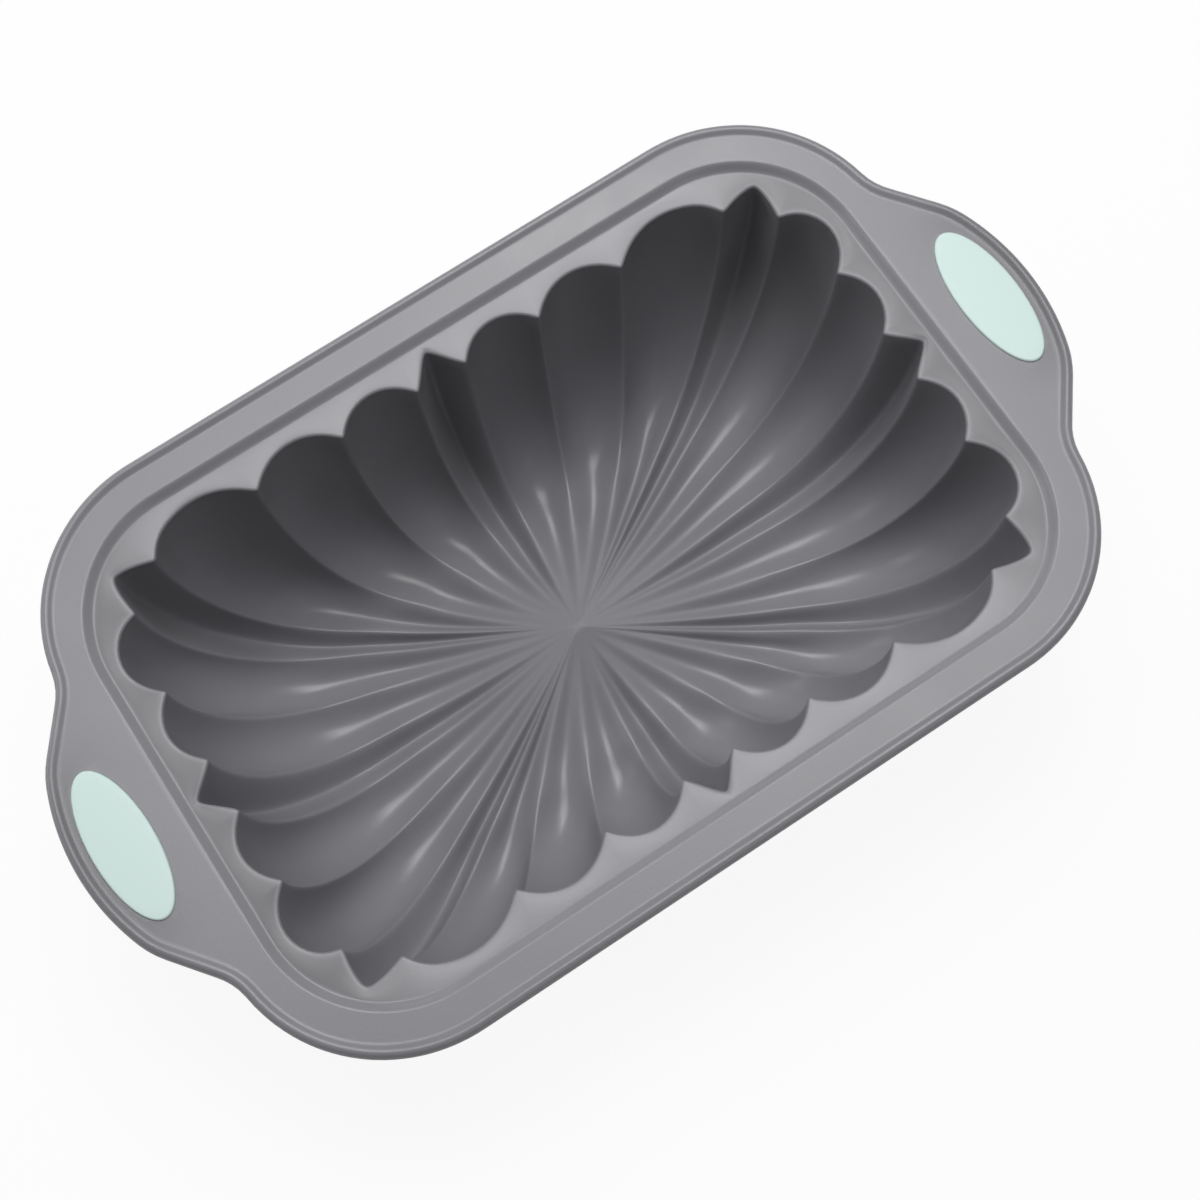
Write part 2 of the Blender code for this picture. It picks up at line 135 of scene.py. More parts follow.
# Pointiness at which an edge starts to pale, and at which it has paled
EDGE_POINTINESS = (0.5, 0.6)
# How much the silicones' colours vary
PAN_MOTTLE = 0.05
GRIP_MOTTLE = 0.02
# Detail of the noises in the silicones
MOTTLE_DETAIL = 4.0
PATCH_DETAIL = 6.0
GRAIN_DETAIL = 2.0
# Scratches of the rolled steel: how they are stretched, and their roughness
SCRATCH_STRETCH = (60.0, 60.0, 4000.0)
SCRATCH_SCALE = 20.0
SCRATCH_DETAIL = 5.0
STEEL_ROUGHNESS = (0.22, 0.42)
FLOOR_ROUGHNESS = 0.9
# Distance between neighbouring nodes of a material, in the node editor
SHADER_SPACING = Vector((220.0, -180.0))


def length(name, default, description):
    """Return a property that holds a length, given in millimetres."""
    return FloatProperty(name=name, default=default * MM, description=description,
                         unit="LENGTH", subtype="DISTANCE", precision=5)


def lengths(name, defaults, description):
    """Return a property that holds a length of each flute, given in millimetres."""
    return FloatVectorProperty(name=name, default=[value * MM for value in defaults],
                               description=description, unit="LENGTH", precision=5,
                               size=FLUTE_COUNT)


def degrees(name, default, description):
    """Return a property that holds an angle, given in degrees."""
    return FloatProperty(name=name, default=math.radians(default), description=description,
                         subtype="ANGLE")


def fraction(name, default, description):
    """Return a property that holds a share of something."""
    return FloatProperty(name=name, default=default, description=description,
                         subtype="FACTOR")


def number(name, default, description):
    """Return a property that holds a plain number."""
    return FloatProperty(name=name, default=default, description=description)


def colour(name, default, description):
    """Return a property that holds a colour."""
    return FloatVectorProperty(name=name, default=default, description=description,
                               subtype="COLOR", min=0.0, max=1.0, size=3)


class PanSizes(bpy.types.PropertyGroup):
    """Sizes of the moulding, its rim and its grips."""

    cavity_length: length("Cavity length", 224.8, "Between the ridges of both ends")
    cavity_width: length("Cavity width", 135.4, "Between the ridges of both long sides")
    cavity_corner: length("Cavity corner", 26.0, "Corner radius of the ridges' outline")
    cavity_depth: length("Cavity depth", 69.0, "From the ledge to the lowest ridge")
    floor_rise: length("Floor rise", 5.7, "How far the middle of the floor is raised")
    wall_turn: fraction("Wall turn", 0.42, "Share of the half width that turns wall into floor")
    turn_roundness: number("Turn roundness", 2.5, "Exponent of the wall's turn into the floor")
    floor_dip: length("Floor dip", 1.3, "How far the floor sinks before it climbs")
    floor_power: number("Floor power", 2.8, "How steadily the floor climbs to the middle")
    flute_widths: lengths("Flute widths", (8.2, 25.1, 28.6, 34.9, 16.6, 25.0, 22.9, 8.4),
                          "Widths of one quarter's flutes, with the end ones halved")
    flute_depths: lengths("Flute depths", (8.8, 6.8, 6.9, 7.4, 7.6, 6.4, 5.6, 7.8),
                          "Depths of one quarter's flutes behind the ridges")
    flute_fade: number("Flute fade", 1.05, "How fast the flutes run out to the middle")
    calm_middle: fraction("Calm middle", 0.4, "Share of the plan where the flutes fade in")
    wavy_share: fraction("Wavy share", 0.42, "Share of the plan where flutes are soft waves")
    sharp_share: fraction("Sharp share", 0.8, "Share of the plan where flutes meet in ridges")
    ridge_softness: length("Ridge softness", 1.0, "Rounding of the ridges between flutes")
    crest_softness: length("Crest softness", 0.9, "Rounding at the back of a pointed flute")
    long_bulge: number("Long side bulge", 0.33, "Bend of the ridges along the length")
    short_bulge: number("Short side bulge", 0.15, "Bend of the ridges across the width")
    lip_radius: length("Lip radius", 0.8, "Rounding where the cavity meets the ledge")
    lip_drop: length("Lip drop", 0.35, "How far the ledge rolls down to the cavity")
    wall: length("Wall", 2.0, "Thickness of the silicone wall")
    ledge_length: length("Ledge length", 245.6, "Sunk ledge round the cavity, along X")
    ledge_width: length("Ledge width", 158.6, "Sunk ledge round the cavity, along Y")
    ledge_corner: length("Ledge corner", 35.8, "Corner radius of the ledge")
    ledge_thickness: length("Ledge thickness", 2.0, "Thickness under the ledge")
    ledge_sink: length("Ledge sink", 3.0, "From the packed rim's top down to the ledge")
    step_slope: length("Step slope", 2.9, "Width of the step up to the band")
    step_height: length("Step height", 2.4, "Height of the step up to the band")
    shoulder_length: length("Shoulder length", 273.2, "Length of the rim without handles")
    rim_corner: length("Rim corner", 48.6, "Corner radius of the rim")
    bead_height: length("Bead height", 0.88, "How far the rim's edge stands above the band")
    bead_slope: length("Bead slope", 2.4, "Width of the bead's slope on the band's side")
    edge_roll: length("Edge roll", 1.8, "Width over which the bead rolls over at its edge")
    under_fillet: length("Underside fillet", 1.2, "Rounding where wall and rim meet below")
    handle_end: length("Handle end", 71.7, "Radius of the handle's end")
    handle_end_angle: degrees("Handle end angle", 20.4, "Half angle of that end")
    handle_corner: length("Handle corner", 28.0, "Radius of the handle's corners")
    handle_corner_turn: degrees("Handle corner turn", 17.3, "Turn of those corners")
    handle_neck: length("Handle neck", 18.0, "Hollow radius where handle meets rim")
    pin_hole: length("Pin hole", 3.0, "Diameter of the holes under the steel ring")
    long_pin_spacing: length("Long pin spacing", 120.0, "Between pin holes of a long side")
    short_pin_spacing: length("Short pin spacing", 60.0, "Between pin holes of an end")
    ring_width: length("Ring width", 5.0, "Width of the steel strip")
    clearance: length("Clearance", 0.3, "Gap round the steel ring")
    grip_gap: length("Grip gap", 0.06, "Seam round the grips, which are moulded in")
    grip_edge: length("Grip edge", 0.7, "Rounding of the grips' upper edge")
    grip_crown: length("Grip crown", 0.12, "Height of the grips' crown")


class PanColours(bpy.types.PropertyGroup):
    """Colours and surface of the silicone, the grips and the steel."""

    silicone: colour("Silicone", (0.228, 0.223, 0.241), "Grey silicone of the pan")
    silicone_roughness: fraction("Silicone roughness", 0.32, "Satin of the silicone")
    # Painted shade on the handles' outer parts
    handle_wear: fraction("Handle wear", 0.25, "How much darker the handles' outer parts are")
    # Painted shade at the bead's foot
    bead_foot_wear: fraction("Bead foot wear", 0.05, "How much darker the bead's foot is")
    # Painted light on the rim's rolled edge
    edge_painted_light: fraction("Edge painted light", 0.3, "How much paler the rim's rolled edge is")
    # Painted light on the step, which pales its shade
    step_painted_light: fraction("Step painted light", 0.22, "How much paler the rubbed step is")
    # Painted shade on the ledge's ends, and a painted sheen on its long sides
    ledge_end_wear: fraction("Ledge end wear", 0.42, "How much darker the ledge's ends are")
    ledge_side_painted_sheen: fraction("Ledge side painted sheen", 0.1, "How much paler its long sides are")
    grip: colour("Grip", (0.62, 0.77, 0.73), "Mint silicone of the grips")
    grip_roughness: fraction("Grip roughness", 0.5, "Satin of the grips")
    steel: colour("Steel", (0.58, 0.58, 0.6), "Stainless steel of the ring")
    floor: colour("Floor", (0.9, 0.9, 0.9), "Studio floor")


class StudioSettings(bpy.types.PropertyGroup):
    """Camera and lights."""

    lens: FloatProperty(name="Lens", default=63.0, unit="CAMERA",
                        description="Focal length for a 36 mm sensor")
    light: fraction("Light", 1.0, "Brightness of all the softboxes together")
    fill: number("Fill", 0.05, "Strength of the light from all round")
    backdrop: number("Backdrop", 1.0, "Brightness of the floor and backdrop as they are seen")
    shadow: fraction("Shadow", 0.08, "How much of its shading the floor shows")


class Term:
    """A value in a node tree that formulas can be written with."""

    def __init__(self, formula, socket):
        self.formula = formula
        self.socket = socket

    def __add__(self, other):
        return self.formula.math("ADD", self, other)

    def __sub__(self, other):
        return self.formula.math("SUBTRACT", self, other)

    def __rsub__(self, other):
        return self.formula.math("SUBTRACT", other, self)

    def __mul__(self, other):
        return self.formula.math("MULTIPLY", self, other)

    def __truediv__(self, other):
        return self.formula.math("DIVIDE", self, other)

    def __rtruediv__(self, other):
        return self.formula.math("DIVIDE", other, self)

    def __pow__(self, other):
        return self.formula.math("POWER", self, other)

    def __lt__(self, other):
        return self.formula.math("LESS_THAN", self, other)

    __radd__ = __add__
    __rmul__ = __mul__


class Formula:
    """A node group that is written as formulas, with named inputs."""

    ROWS = 14
    SPACING = Vector((190.0, -170.0))
    KINDS = {"Geometry": "NodeSocketGeometry", "Colour": "NodeSocketColor",
             "Normal": "NodeSocketVector"}

    def __init__(self, name, kind="GeometryNodeTree"):
        self.tree = bpy.data.node_groups.new(name, kind)
        self.entry = self.node("NodeGroupInput")

    def node(self, kind, **settings):
        """Add a node in the next free place, with its settings."""
        place = len(self.tree.nodes)
        node = self.tree.nodes.new(kind)
        node.location = (place // self.ROWS * self.SPACING.x, place % self.ROWS * self.SPACING.y)
        for name, value in settings.items():
            setattr(node, name, value)
        return node

    def feed(self, socket, value):
        """Link a term to a socket, or set the socket to a plain value."""
        if isinstance(value, Term):
            self.tree.links.new(value.socket, socket)
        else:
            socket.default_value = value

    def result(self, kind, given, output=0, **settings):
        """Add a node, feed its inputs by name or number, and return one of its outputs."""
        node = self.node(kind, **settings)
        for name, value in given.items():
            self.feed(node.inputs[name], value)
        return Term(self, node.outputs[output])

    def size(self, name, default=0.0):
        """Return the group's input of that name, and make it if it is new."""
        if name not in self.entry.outputs:
            kind = self.KINDS.get(name, "NodeSocketFloat")
            socket = self.tree.interface.new_socket(name, in_out="INPUT", socket_type=kind)
            socket.default_value = default
        return Term(self, self.entry.outputs[name])

    def sizes(self, *names):
        """Return several inputs of the group."""
        return [self.size(name) for name in names]

    def give(self, **results):
        """Make the group's outputs from terms."""
        end = self.node("NodeGroupOutput")
        for name, term in results.items():
            kind = self.KINDS.get(name, "NodeSocketFloat")
            self.tree.interface.new_socket(name, in_out="OUTPUT", socket_type=kind)
            self.feed(end.inputs[name], term)

    def math(self, operation, *values):
        """Return the result of a Math node."""
        return self.result("ShaderNodeMath", dict(enumerate(values)), operation=operation)

    def root(self, value):
        """Return a square root, taken as 0 below 0."""
        return self.math("SQRT", self.math("MAXIMUM", value, 0.0))

    def hypotenuse(self, first, second):
        """Return the length of two sides at right angles."""
        return self.root(first * first + second * second)

    def pick(self, test, when_true, when_false):
        """Return one of two values."""
        given = {"Switch": test, "True": when_true, "False": when_false}
        return self.result("GeometryNodeSwitch", given, input_type="FLOAT")

    def smoothstep(self, value, low, high):
        """Return a smooth climb from 0 at low to 1 at high."""
        given = {"Value": value, "From Min": low, "From Max": high}
        return self.result("ShaderNodeMapRange", given, interpolation_type="SMOOTHSTEP")

    def vector(self, x, y, z):
        """Return a vector of three terms."""
        return self.result("ShaderNodeCombineXYZ", {"X": x, "Y": y, "Z": z})

    def between(self, start, end, share):
        """Return a position between two, by a share."""
        return self.result("ShaderNodeMix", {0: share, 4: start, 5: end}, output=1,
                           data_type="VECTOR")

    def moved(self, position, offset):
        """Return a position moved by a vector."""
        return self.result("ShaderNodeVectorMath", {0: position, 1: offset}, operation="ADD")

    def call(self, other, **given):
        """Place another group, and pass on each input that isn't given by name."""
        node = self.node("GeometryNodeGroup", node_tree=other.tree)
        values = {name.replace("_", " "): value for name, value in given.items()}
        for socket in node.inputs:
            given_here = socket.name in values
            self.feed(socket, values[socket.name] if given_here else self.size(socket.name))
        outputs = [Term(self, socket) for socket in node.outputs]
        return outputs[0] if len(outputs) == 1 else outputs

    def grid(self, rows, position, wear=0.0, matt=0.0):
        """Return a sheet of cells, as long as the outline, laid out by a formula.

        Painted shade and light and the mattness go on before the sheet is laid
        out, as all three are worked out from where the points are on the flat sheet.
        """
        mesh = self.result("GeometryNodeMeshGrid", {
            "Size X": float(QUARTERS), "Size Y": 1.0,
            "Vertices X": QUARTERS * QUARTER_COLUMNS + 1, "Vertices Y": rows + 1})
        for name, value in ((PAINTED_SHADING, wear), (MATT, matt)):
            mesh = self.result("GeometryNodeStoreNamedAttribute",
                               {"Geometry": mesh, "Name": name, "Value": value},
                               data_type="FLOAT", domain="POINT")
        return self.result("GeometryNodeSetPosition", {"Geometry": mesh, "Position": position})


def flute_extents(formula):
    """Return start, width and depth of each flute along the quarter outline."""
    widths = formula.sizes(*(f"Flute {index + 1} width" for index in range(FLUTE_COUNT)))
    depths = formula.sizes(*(f"Flute {index + 1} depth" for index in range(FLUTE_COUNT)))
    total = sum(widths[1:], widths[0])
    scale = formula.size("Quarter outline") / total
    extents = []
    start = 0.0
    for width, depth in zip(widths, depths):
        width = width * scale
        extents.append((start, width, depth))
        start = start + width
    return extents


def softened(formula, height, softness):
    """Round off a height near 0, over a distance."""
    return height * height / (formula.hypotenuse(height, softness) + softness)


def flute_depth_group():
    """Return the group that gives the flutes' depth at one place and level."""
    formula = Formula("Flute depth")
    place = formula.math("PINGPONG", formula.size("Place"), formula.size("Quarter outline"))
    share, fade, calm = formula.sizes("Share", "Flute fade", "Calm middle")
    strength = share ** fade * formula.smoothstep(share, 0.0, calm)
    wavy, sharp = formula.sizes("Wavy share", "Sharp share")
    sharpness = formula.smoothstep(share, wavy, sharp)
    ridge_softness, crest_softness = formula.sizes("Ridge softness", "Crest softness")
    deepest = None
    for index, (start, width, depth) in enumerate(flute_extents(formula)):
        if index == 0:
            crest, reach = start, width
        elif index == FLUTE_COUNT - 1:
            crest, reach = start + width, width
        else:
            crest, reach = start + width * 0.5, width * 0.5
        away = place - crest
        if FLUTE_SHAPES[index] == "pointed":
            along = softened(formula, away, crest_softness)
            height = depth * (1.0 - along / softened(formula, reach, crest_softness))
        else:
            radius = (reach * reach + depth * depth) / (2.0 * depth)
            height = formula.root(radius * radius - away * away) - radius + depth
        height = softened(formula, formula.math("MAXIMUM", height, 0.0) * strength,
                          ridge_softness)
        depth = depth * strength
        height = height * depth / softened(formula, depth, ridge_softness)
        across = formula.smoothstep(formula.math("ABSOLUTE", away), 0.0, reach)
        wave = depth * (1.0 - across)
        height = wave + (height - wave) * sharpness
        deepest = height if deepest is None else formula.math("MAXIMUM", deepest, height)
    formula.give(Depth=deepest)
    return formula


def grown_flutes_group(flute_depth):
    """Return the group that grows the flutes outwards all round, at one level."""
    formula = Formula("Grown flutes")
    place, share, growth = formula.sizes("Place", "Share", "Growth")
    reach = growth / share
    furthest = None
    for step in range(-GROWTH_STEPS, GROWTH_STEPS + 1):
        angle = QUARTER_TURN * step / (GROWTH_STEPS + 1)
        beside = formula.call(flute_depth, Place=place + reach * math.sin(angle))
        height = beside + growth * math.cos(angle)
        furthest = height if furthest is None else formula.math("MAXIMUM", furthest, height)
    formula.give(Out=furthest)
    return formula


def column_group():
    """Return the group that turns a column of the mesh into a place on the outline."""
    formula = Formula("Column place")
    turn = formula.size("Turn")
    column = formula.math("ABSOLUTE", formula.math("FLOORED_MODULO", turn, 2.0) - 1.0)
    column = column * QUARTER_COLUMNS
    place = None
    first = 0
    for shape, columns, (_, width, _) in zip(FLUTE_SHAPES, FLUTE_COLUMNS,
                                             flute_extents(formula)):
        halves = 2 if shape == "pointed" and 0 < first < QUARTER_COLUMNS - columns else 1
        for half in range(halves):
            along = (column - (first + half * columns / halves)) / (columns / halves)
            along = formula.math("MINIMUM", formula.math("MAXIMUM", along, 0.0), 1.0)
            bunched = along - formula.math("SINE", along * (2 * HALF_TURN)) * COLUMN_BUNCHING
            part = width * bunched / halves
            place = part if place is None else place + part
        first += columns
    formula.give(Place=place)
    return formula


def stretch_group():
    """Return the group that tells which stretch of the quarter a place is on."""
    formula = Formula("Stretch")
    place, half_length, half_width, corner = formula.sizes(
        "Place", "Half length", "Half width", "Cavity corner")
    straight = half_length - corner
    arc = corner * QUARTER_TURN
    on_long = place < straight
    before_short = place < straight + arc
    along = formula.pick(on_long, place / straight,
                         formula.pick(before_short, (place - straight) / arc,
                                      (place - straight - arc) / (half_width - corner)))
    along = formula.math("MINIMUM", along, 1.0)
    formula.give(Long=on_long, Corner=before_short - on_long, Along=along)
    return formula


def rectangle_group():
    """Return the group of a rounded rectangle: quarter point and outward direction."""
    formula = Formula("Rounded rectangle")
    on_long, on_corner, along, half_x, half_y, radius = formula.sizes(
        "Long", "Corner", "Along", "Half X", "Half Y", "Radius")
    angle = (1.0 - along) * QUARTER_TURN
    cosine = formula.math("COSINE", angle)
    sine = formula.math("SINE", angle)
    core_x = half_x - radius
    core_y = half_y - radius
    x = formula.pick(on_long, along * core_x,
                     formula.pick(on_corner, core_x + radius * cosine, half_x))
    y = formula.pick(on_long, half_y,
                     formula.pick(on_corner, core_y + radius * sine, (1.0 - along) * core_y))
    out_x = formula.pick(on_long, 0.0, formula.pick(on_corner, cosine, 1.0))
    out_y = formula.pick(on_long, 1.0, formula.pick(on_corner, sine, 0.0))
    formula.give(X=x, Y=y, OutX=out_x, OutY=out_y)
    return formula


def rim_group():
    """Return the group of the rim's outer outline, moved inwards by Inset."""
    formula = Formula("Rim outline")
    on_long, on_corner, along, inset = formula.sizes("Long", "Corner", "Along", "Inset")
    corner_x, corner_y, radius, half_y, join_angle, join_y = formula.sizes(
        "Rim corner X", "Rim corner Y", "Rim corner", "Rim half width", "Join angle", "Join Y")

    # The handle is a chain of arcs: its end, its corner, a straight flank and
    # the hollow neck, each written as x over y. The neck's radius is negative
    y = (1.0 - along) * join_y
    centre_x = centre_y = bend = None
    for name in ("Neck", "Corner", "End"):
        arc_x, arc_y, arc_radius, limit = formula.sizes(
            f"Handle {name} X", f"Handle {name} Y", f"Handle {name} radius",
            f"Handle {name} limit")
        if centre_x is None:
            centre_x, centre_y, bend = arc_x, arc_y, arc_radius
            continue
        within = y < limit
        centre_x = formula.pick(within, arc_x, centre_x)
        centre_y = formula.pick(within, arc_y, centre_y)
        bend = formula.pick(within, arc_radius, bend)
    across = y - centre_y
    arc_out = formula.root(bend * bend - across * across)
    direction = formula.math("SIGN", bend)
    arc_at = centre_x + arc_out * direction
    size = formula.math("ABSOLUTE", bend)
    arc_out_x = arc_out / size
    arc_out_y = across * direction / size

    corner_limit, neck_limit, slope = formula.sizes(
        "Handle Corner limit", "Handle Neck limit", "Flank slope")
    flank_x, flank_y, flank_out_x, flank_out_y = formula.sizes(
        "Flank X", "Flank Y", "Flank out X", "Flank out Y")
    on_flank = (1.0 - (y < corner_limit)) * (y < neck_limit)
    short_x = formula.pick(on_flank, flank_x + (y - flank_y) * slope, arc_at)
    short_out_x = formula.pick(on_flank, flank_out_x, arc_out_x)
    short_out_y = formula.pick(on_flank, flank_out_y, arc_out_y)

    angle = QUARTER_TURN - along * (QUARTER_TURN - join_angle)
    cosine = formula.math("COSINE", angle)
    sine = formula.math("SINE", angle)
    x = formula.pick(on_long, along * corner_x,
                     formula.pick(on_corner, corner_x + radius * cosine, short_x))
    y = formula.pick(on_long, half_y,
                     formula.pick(on_corner, corner_y + radius * sine, y))
    out_x = formula.pick(on_long, 0.0, formula.pick(on_corner, cosine, short_out_x))
    out_y = formula.pick(on_long, 1.0, formula.pick(on_corner, sine, short_out_y))
    formula.give(X=x - out_x * inset, Y=y - out_y * inset)
    return formula


def wall_level_group():
    """Return the group of the cavity's profile: share of the plan, depth and tilt."""
    formula = Formula("Wall level")
    angle, turn, roundness, depth, mean = formula.sizes(
        "Angle", "Wall turn", "Turn roundness", "Cavity depth", "Mean half size")
    power = 2.0 / roundness
    cosine = formula.math("MAXIMUM", formula.math("COSINE", angle), 0.0)
    sine = formula.math("SINE", angle)
    share = 1.0 - turn * (1.0 - cosine ** power)
    least = formula.math("MAXIMUM", cosine, LEAST_COSINE)
    inward = turn * mean * power * least ** (power - 1.0) * sine
    tilt = formula.math("ARCTAN2", inward, depth * least)
    formula.give(Share=share, Depth=depth * sine, Tilt=tilt)
    return formula


def pan_point_group():
    """Return the group that places a point of the fluted surface."""
    formula = Formula("Pan point")
    x, y, out_x, out_y = formula.sizes("Ridge X", "Ridge Y", "Ridge out X", "Ridge out Y")
    half_length, half_width = formula.sizes("Half length", "Half width")
    long_bulge, short_bulge = formula.sizes("Long bulge", "Short bulge")
    share, depth, tilt, out = formula.sizes("Share", "Depth", "Tilt", "Out")
    left = 1.0 - share
    long_weight = 1.0 - formula.smoothstep(x / half_length, *LONG_BULGE_END)
    short_weight = 1.0 - formula.smoothstep(y / half_width, *SHORT_BULGE_END)
    sideways = out * formula.math("COSINE", tilt)
    x = x * share * (1.0 + long_bulge * left * long_weight) + out_x * sideways
    y = y * share * (1.0 + short_bulge * left * short_weight) + out_y * sideways
    z = 0.0 - depth - out * formula.math("SINE", tilt)
    formula.give(X=x, Y=y, Z=z)
    return formula


def moulding_group(material):
    """Return the group that makes the whole silicone moulding in one skin."""
    flute_depth = flute_depth_group()
    grown = grown_flutes_group(flute_depth)
    wall_level = wall_level_group()
    rectangle = rectangle_group()
    rim = rim_group()
    pan_point = pan_point_group()

    formula = Formula("Fluted moulding")
    position = formula.result("GeometryNodeInputPosition", {})
    parts = formula.node("ShaderNodeSeparateXYZ")
    formula.feed(parts.inputs[0], position)
    half_turns = QUARTERS / 2
    turn = Term(formula, parts.outputs[0]) + half_turns
    row = Term(formula, parts.outputs[1]) + 0.5
    side_x = formula.math("SIGN", formula.math("ABSOLUTE", turn - half_turns) - 1.0)
    side_y = formula.math("SIGN", half_turns - turn)
    place = formula.call(column_group(), Turn=turn)
    on_long, on_corner, along = formula.call(stretch_group(), Place=place)
    stretch = {"Long": on_long, "Corner": on_corner, "Along": along}

    half_length, half_width, cavity_corner = formula.sizes(
        "Half length", "Half width", "Cavity corner")
    ridge_x, ridge_y, out_x, out_y = formula.call(
        rectangle, Half_X=half_length, Half_Y=half_width, Radius=cavity_corner, **stretch)
    ridge = {"Ridge X": ridge_x, "Ridge Y": ridge_y, "Ridge out X": out_x, "Ridge out Y": out_y}
    depth, rise, turn_share = formula.sizes("Cavity depth", "Floor rise", "Wall turn")
    lift, base = formula.sizes("Ledge height", "Base")

    def raised(x, y, z):
        """Return a position from quarter values, set above the ledge height."""
        return formula.vector(x * side_x, y * side_y, z + lift)

    def fluted(level, out, cut=False):
        """Return the position of a point of the fluted surface."""
        share, down, tilt = level
        x, y, z = formula.call(pan_point, Share=share, Depth=down, Tilt=tilt, Out=out, **ridge)
        if cut:
            z = formula.math("MAXIMUM", z, base - lift)
        return raised(x, y, z)

    def floor_level(portion):
        """Return share of the plan, depth and tilt of the floor."""
        climb = rise * (1.0 - portion) ** formula.size("Floor power")
        sunk = formula.smoothstep(portion, *DIP_START) - formula.smoothstep(portion, *DIP_END)
        level = depth - climb + sunk * formula.size("Floor dip")
        return (1.0 - turn_share) * portion, level, QUARTER_TURN

    def angle_at(down):
        """Return the wall's angle at a depth below the ledge."""
        return formula.math("ARCSINE", down / depth)

    def inner_out(share):
        """Return how far the flutes stand back inside the cavity."""
        return formula.call(flute_depth, Place=place, Share=share)

    lip, drop, wall, fillet = formula.sizes(
        "Lip radius", "Lip drop", "Wall", "Under fillet")
    underside = 0.0 - formula.size("Ledge thickness")
    quarter = row * QUARTER_TURN
    sheets = []

    # Floor and wall of the cavity, from the middle up to the lip
    level = floor_level(row)
    matt = 1.0 - formula.smoothstep(row, *MATT_FLOOR)
    sheets.append(formula.grid(FLOOR_ROWS, fluted(level, inner_out(level[0])), matt=matt))
    lip_angle = angle_at(lip + drop)
    level = formula.call(wall_level, Angle=QUARTER_TURN - row * (QUARTER_TURN - lip_angle))
    sheets.append(formula.grid(WALL_ROWS, fluted(level, inner_out(level[0]))))

    # Rounded lip, sunk ledge, step and band
    lip_share, _, lip_tilt = formula.call(wall_level, Angle=lip_angle)
    growth = lip * (1.0 - formula.math("COSINE", quarter))
    out = formula.call(grown, Place=place, Share=lip_share, Growth=growth)
    down = lip * (1.0 - formula.math("SINE", quarter)) + drop
    lip_level = (lip_share, down, lip_tilt * (1.0 - row))
    sheets.append(formula.grid(LIP_ROWS, fluted(lip_level, out)))
    out = formula.call(grown, Place=place, Share=lip_share, Growth=lip)
    lip_edge = fluted((lip_share, 0.0, 0.0), out)
    ledge_x, ledge_y, ledge_corner, slope, height = formula.sizes(
        "Ledge half length", "Ledge half width", "Ledge corner", "Step slope", "Step height")

    def step_at(portion):
        """Return the position on the step, from its foot to its top."""
        widen = slope * portion
        x, y, _, _ = formula.call(rectangle, Half_X=ledge_x + widen, Half_Y=ledge_y + widen,
                                  Radius=ledge_corner + widen, **stretch)
        return raised(x, y, height * formula.smoothstep(portion, 0.0, 1.0))

    def rim_at(inset, level):
        """Return the position on the rim's outline, moved inwards."""
        x, y = formula.call(rim, Inset=inset, **stretch)
        return raised(x, y, level)

    eased = formula.smoothstep(row, 0.0, 1.0)
    roll = formula.vector(0.0, 0.0, (0.0 - drop) * (1.0 - eased) ** 2.0)
    ledge = formula.between(lip_edge, step_at(0.0), eased)
    # Painted shade darkens the ledge's ends, and a painted sheen pales its long sides
    end_painted_shade, side_painted_sheen, step_painted_light, foot_painted_shade, edge_painted_light, handle_wear = formula.sizes(
        "Ledge end wear", "Ledge side painted sheen", "Step painted light", "Bead foot wear", "Edge painted light",
        "Handle wear")
    ledge_reach = formula.call(rectangle, Half_X=ledge_x, Half_Y=ledge_y, Radius=ledge_corner,
                               **stretch)[0]
    end_part = formula.smoothstep(ledge_reach, ledge_x - ledge_corner, ledge_x)
    ledge_painted_shade_and_sheen = (end_painted_shade + side_painted_sheen) * end_part - side_painted_sheen
    kept = formula.smoothstep(row, *LEDGE_PAINT_START) - formula.smoothstep(row, *LEDGE_PAINT_END)
    sheets.append(formula.grid(LEDGE_ROWS, formula.moved(ledge, roll), ledge_painted_shade_and_sheen * kept))
    half = row * HALF_TURN
    # A half sine across the row: it shapes the rolled edge, and weighs the painted light on the
    # step and the painted shade at the bead's foot
    rubbed = formula.math("SINE", half)
    # Painted light pales the step's slope, which the lights leave in shade
    sheets.append(formula.grid(STEP_ROWS, step_at(row), 0.0 - step_painted_light * rubbed))
    bead, bead_slope, edge = formula.sizes("Bead height", "Bead slope", "Edge roll")
    bead_foot = rim_at(edge + bead_slope, height)
    band = formula.between(step_at(1.0), bead_foot, eased)
    # Painted shade darkens the handles' outer parts, on the band, the bead and the rolled edge
    reach = formula.call(rim, Inset=edge + bead_slope, **stretch)[0]
    handle_shade = handle_wear * formula.smoothstep(reach, *SHADED_HANDLE)
    sheets.append(formula.grid(BAND_ROWS, band,
                               handle_shade * formula.smoothstep(row, *SHADED_HANDLE_BAND)))

    # Low bead along the rim's edge, which rolls over to the underside
    # Painted shade darkens the bead's foot
    sheets.append(formula.grid(
        BEAD_ROWS, rim_at(edge + bead_slope * (1.0 - row), height + bead * eased),
        handle_shade + foot_painted_shade * rubbed))
    crest = height + bead
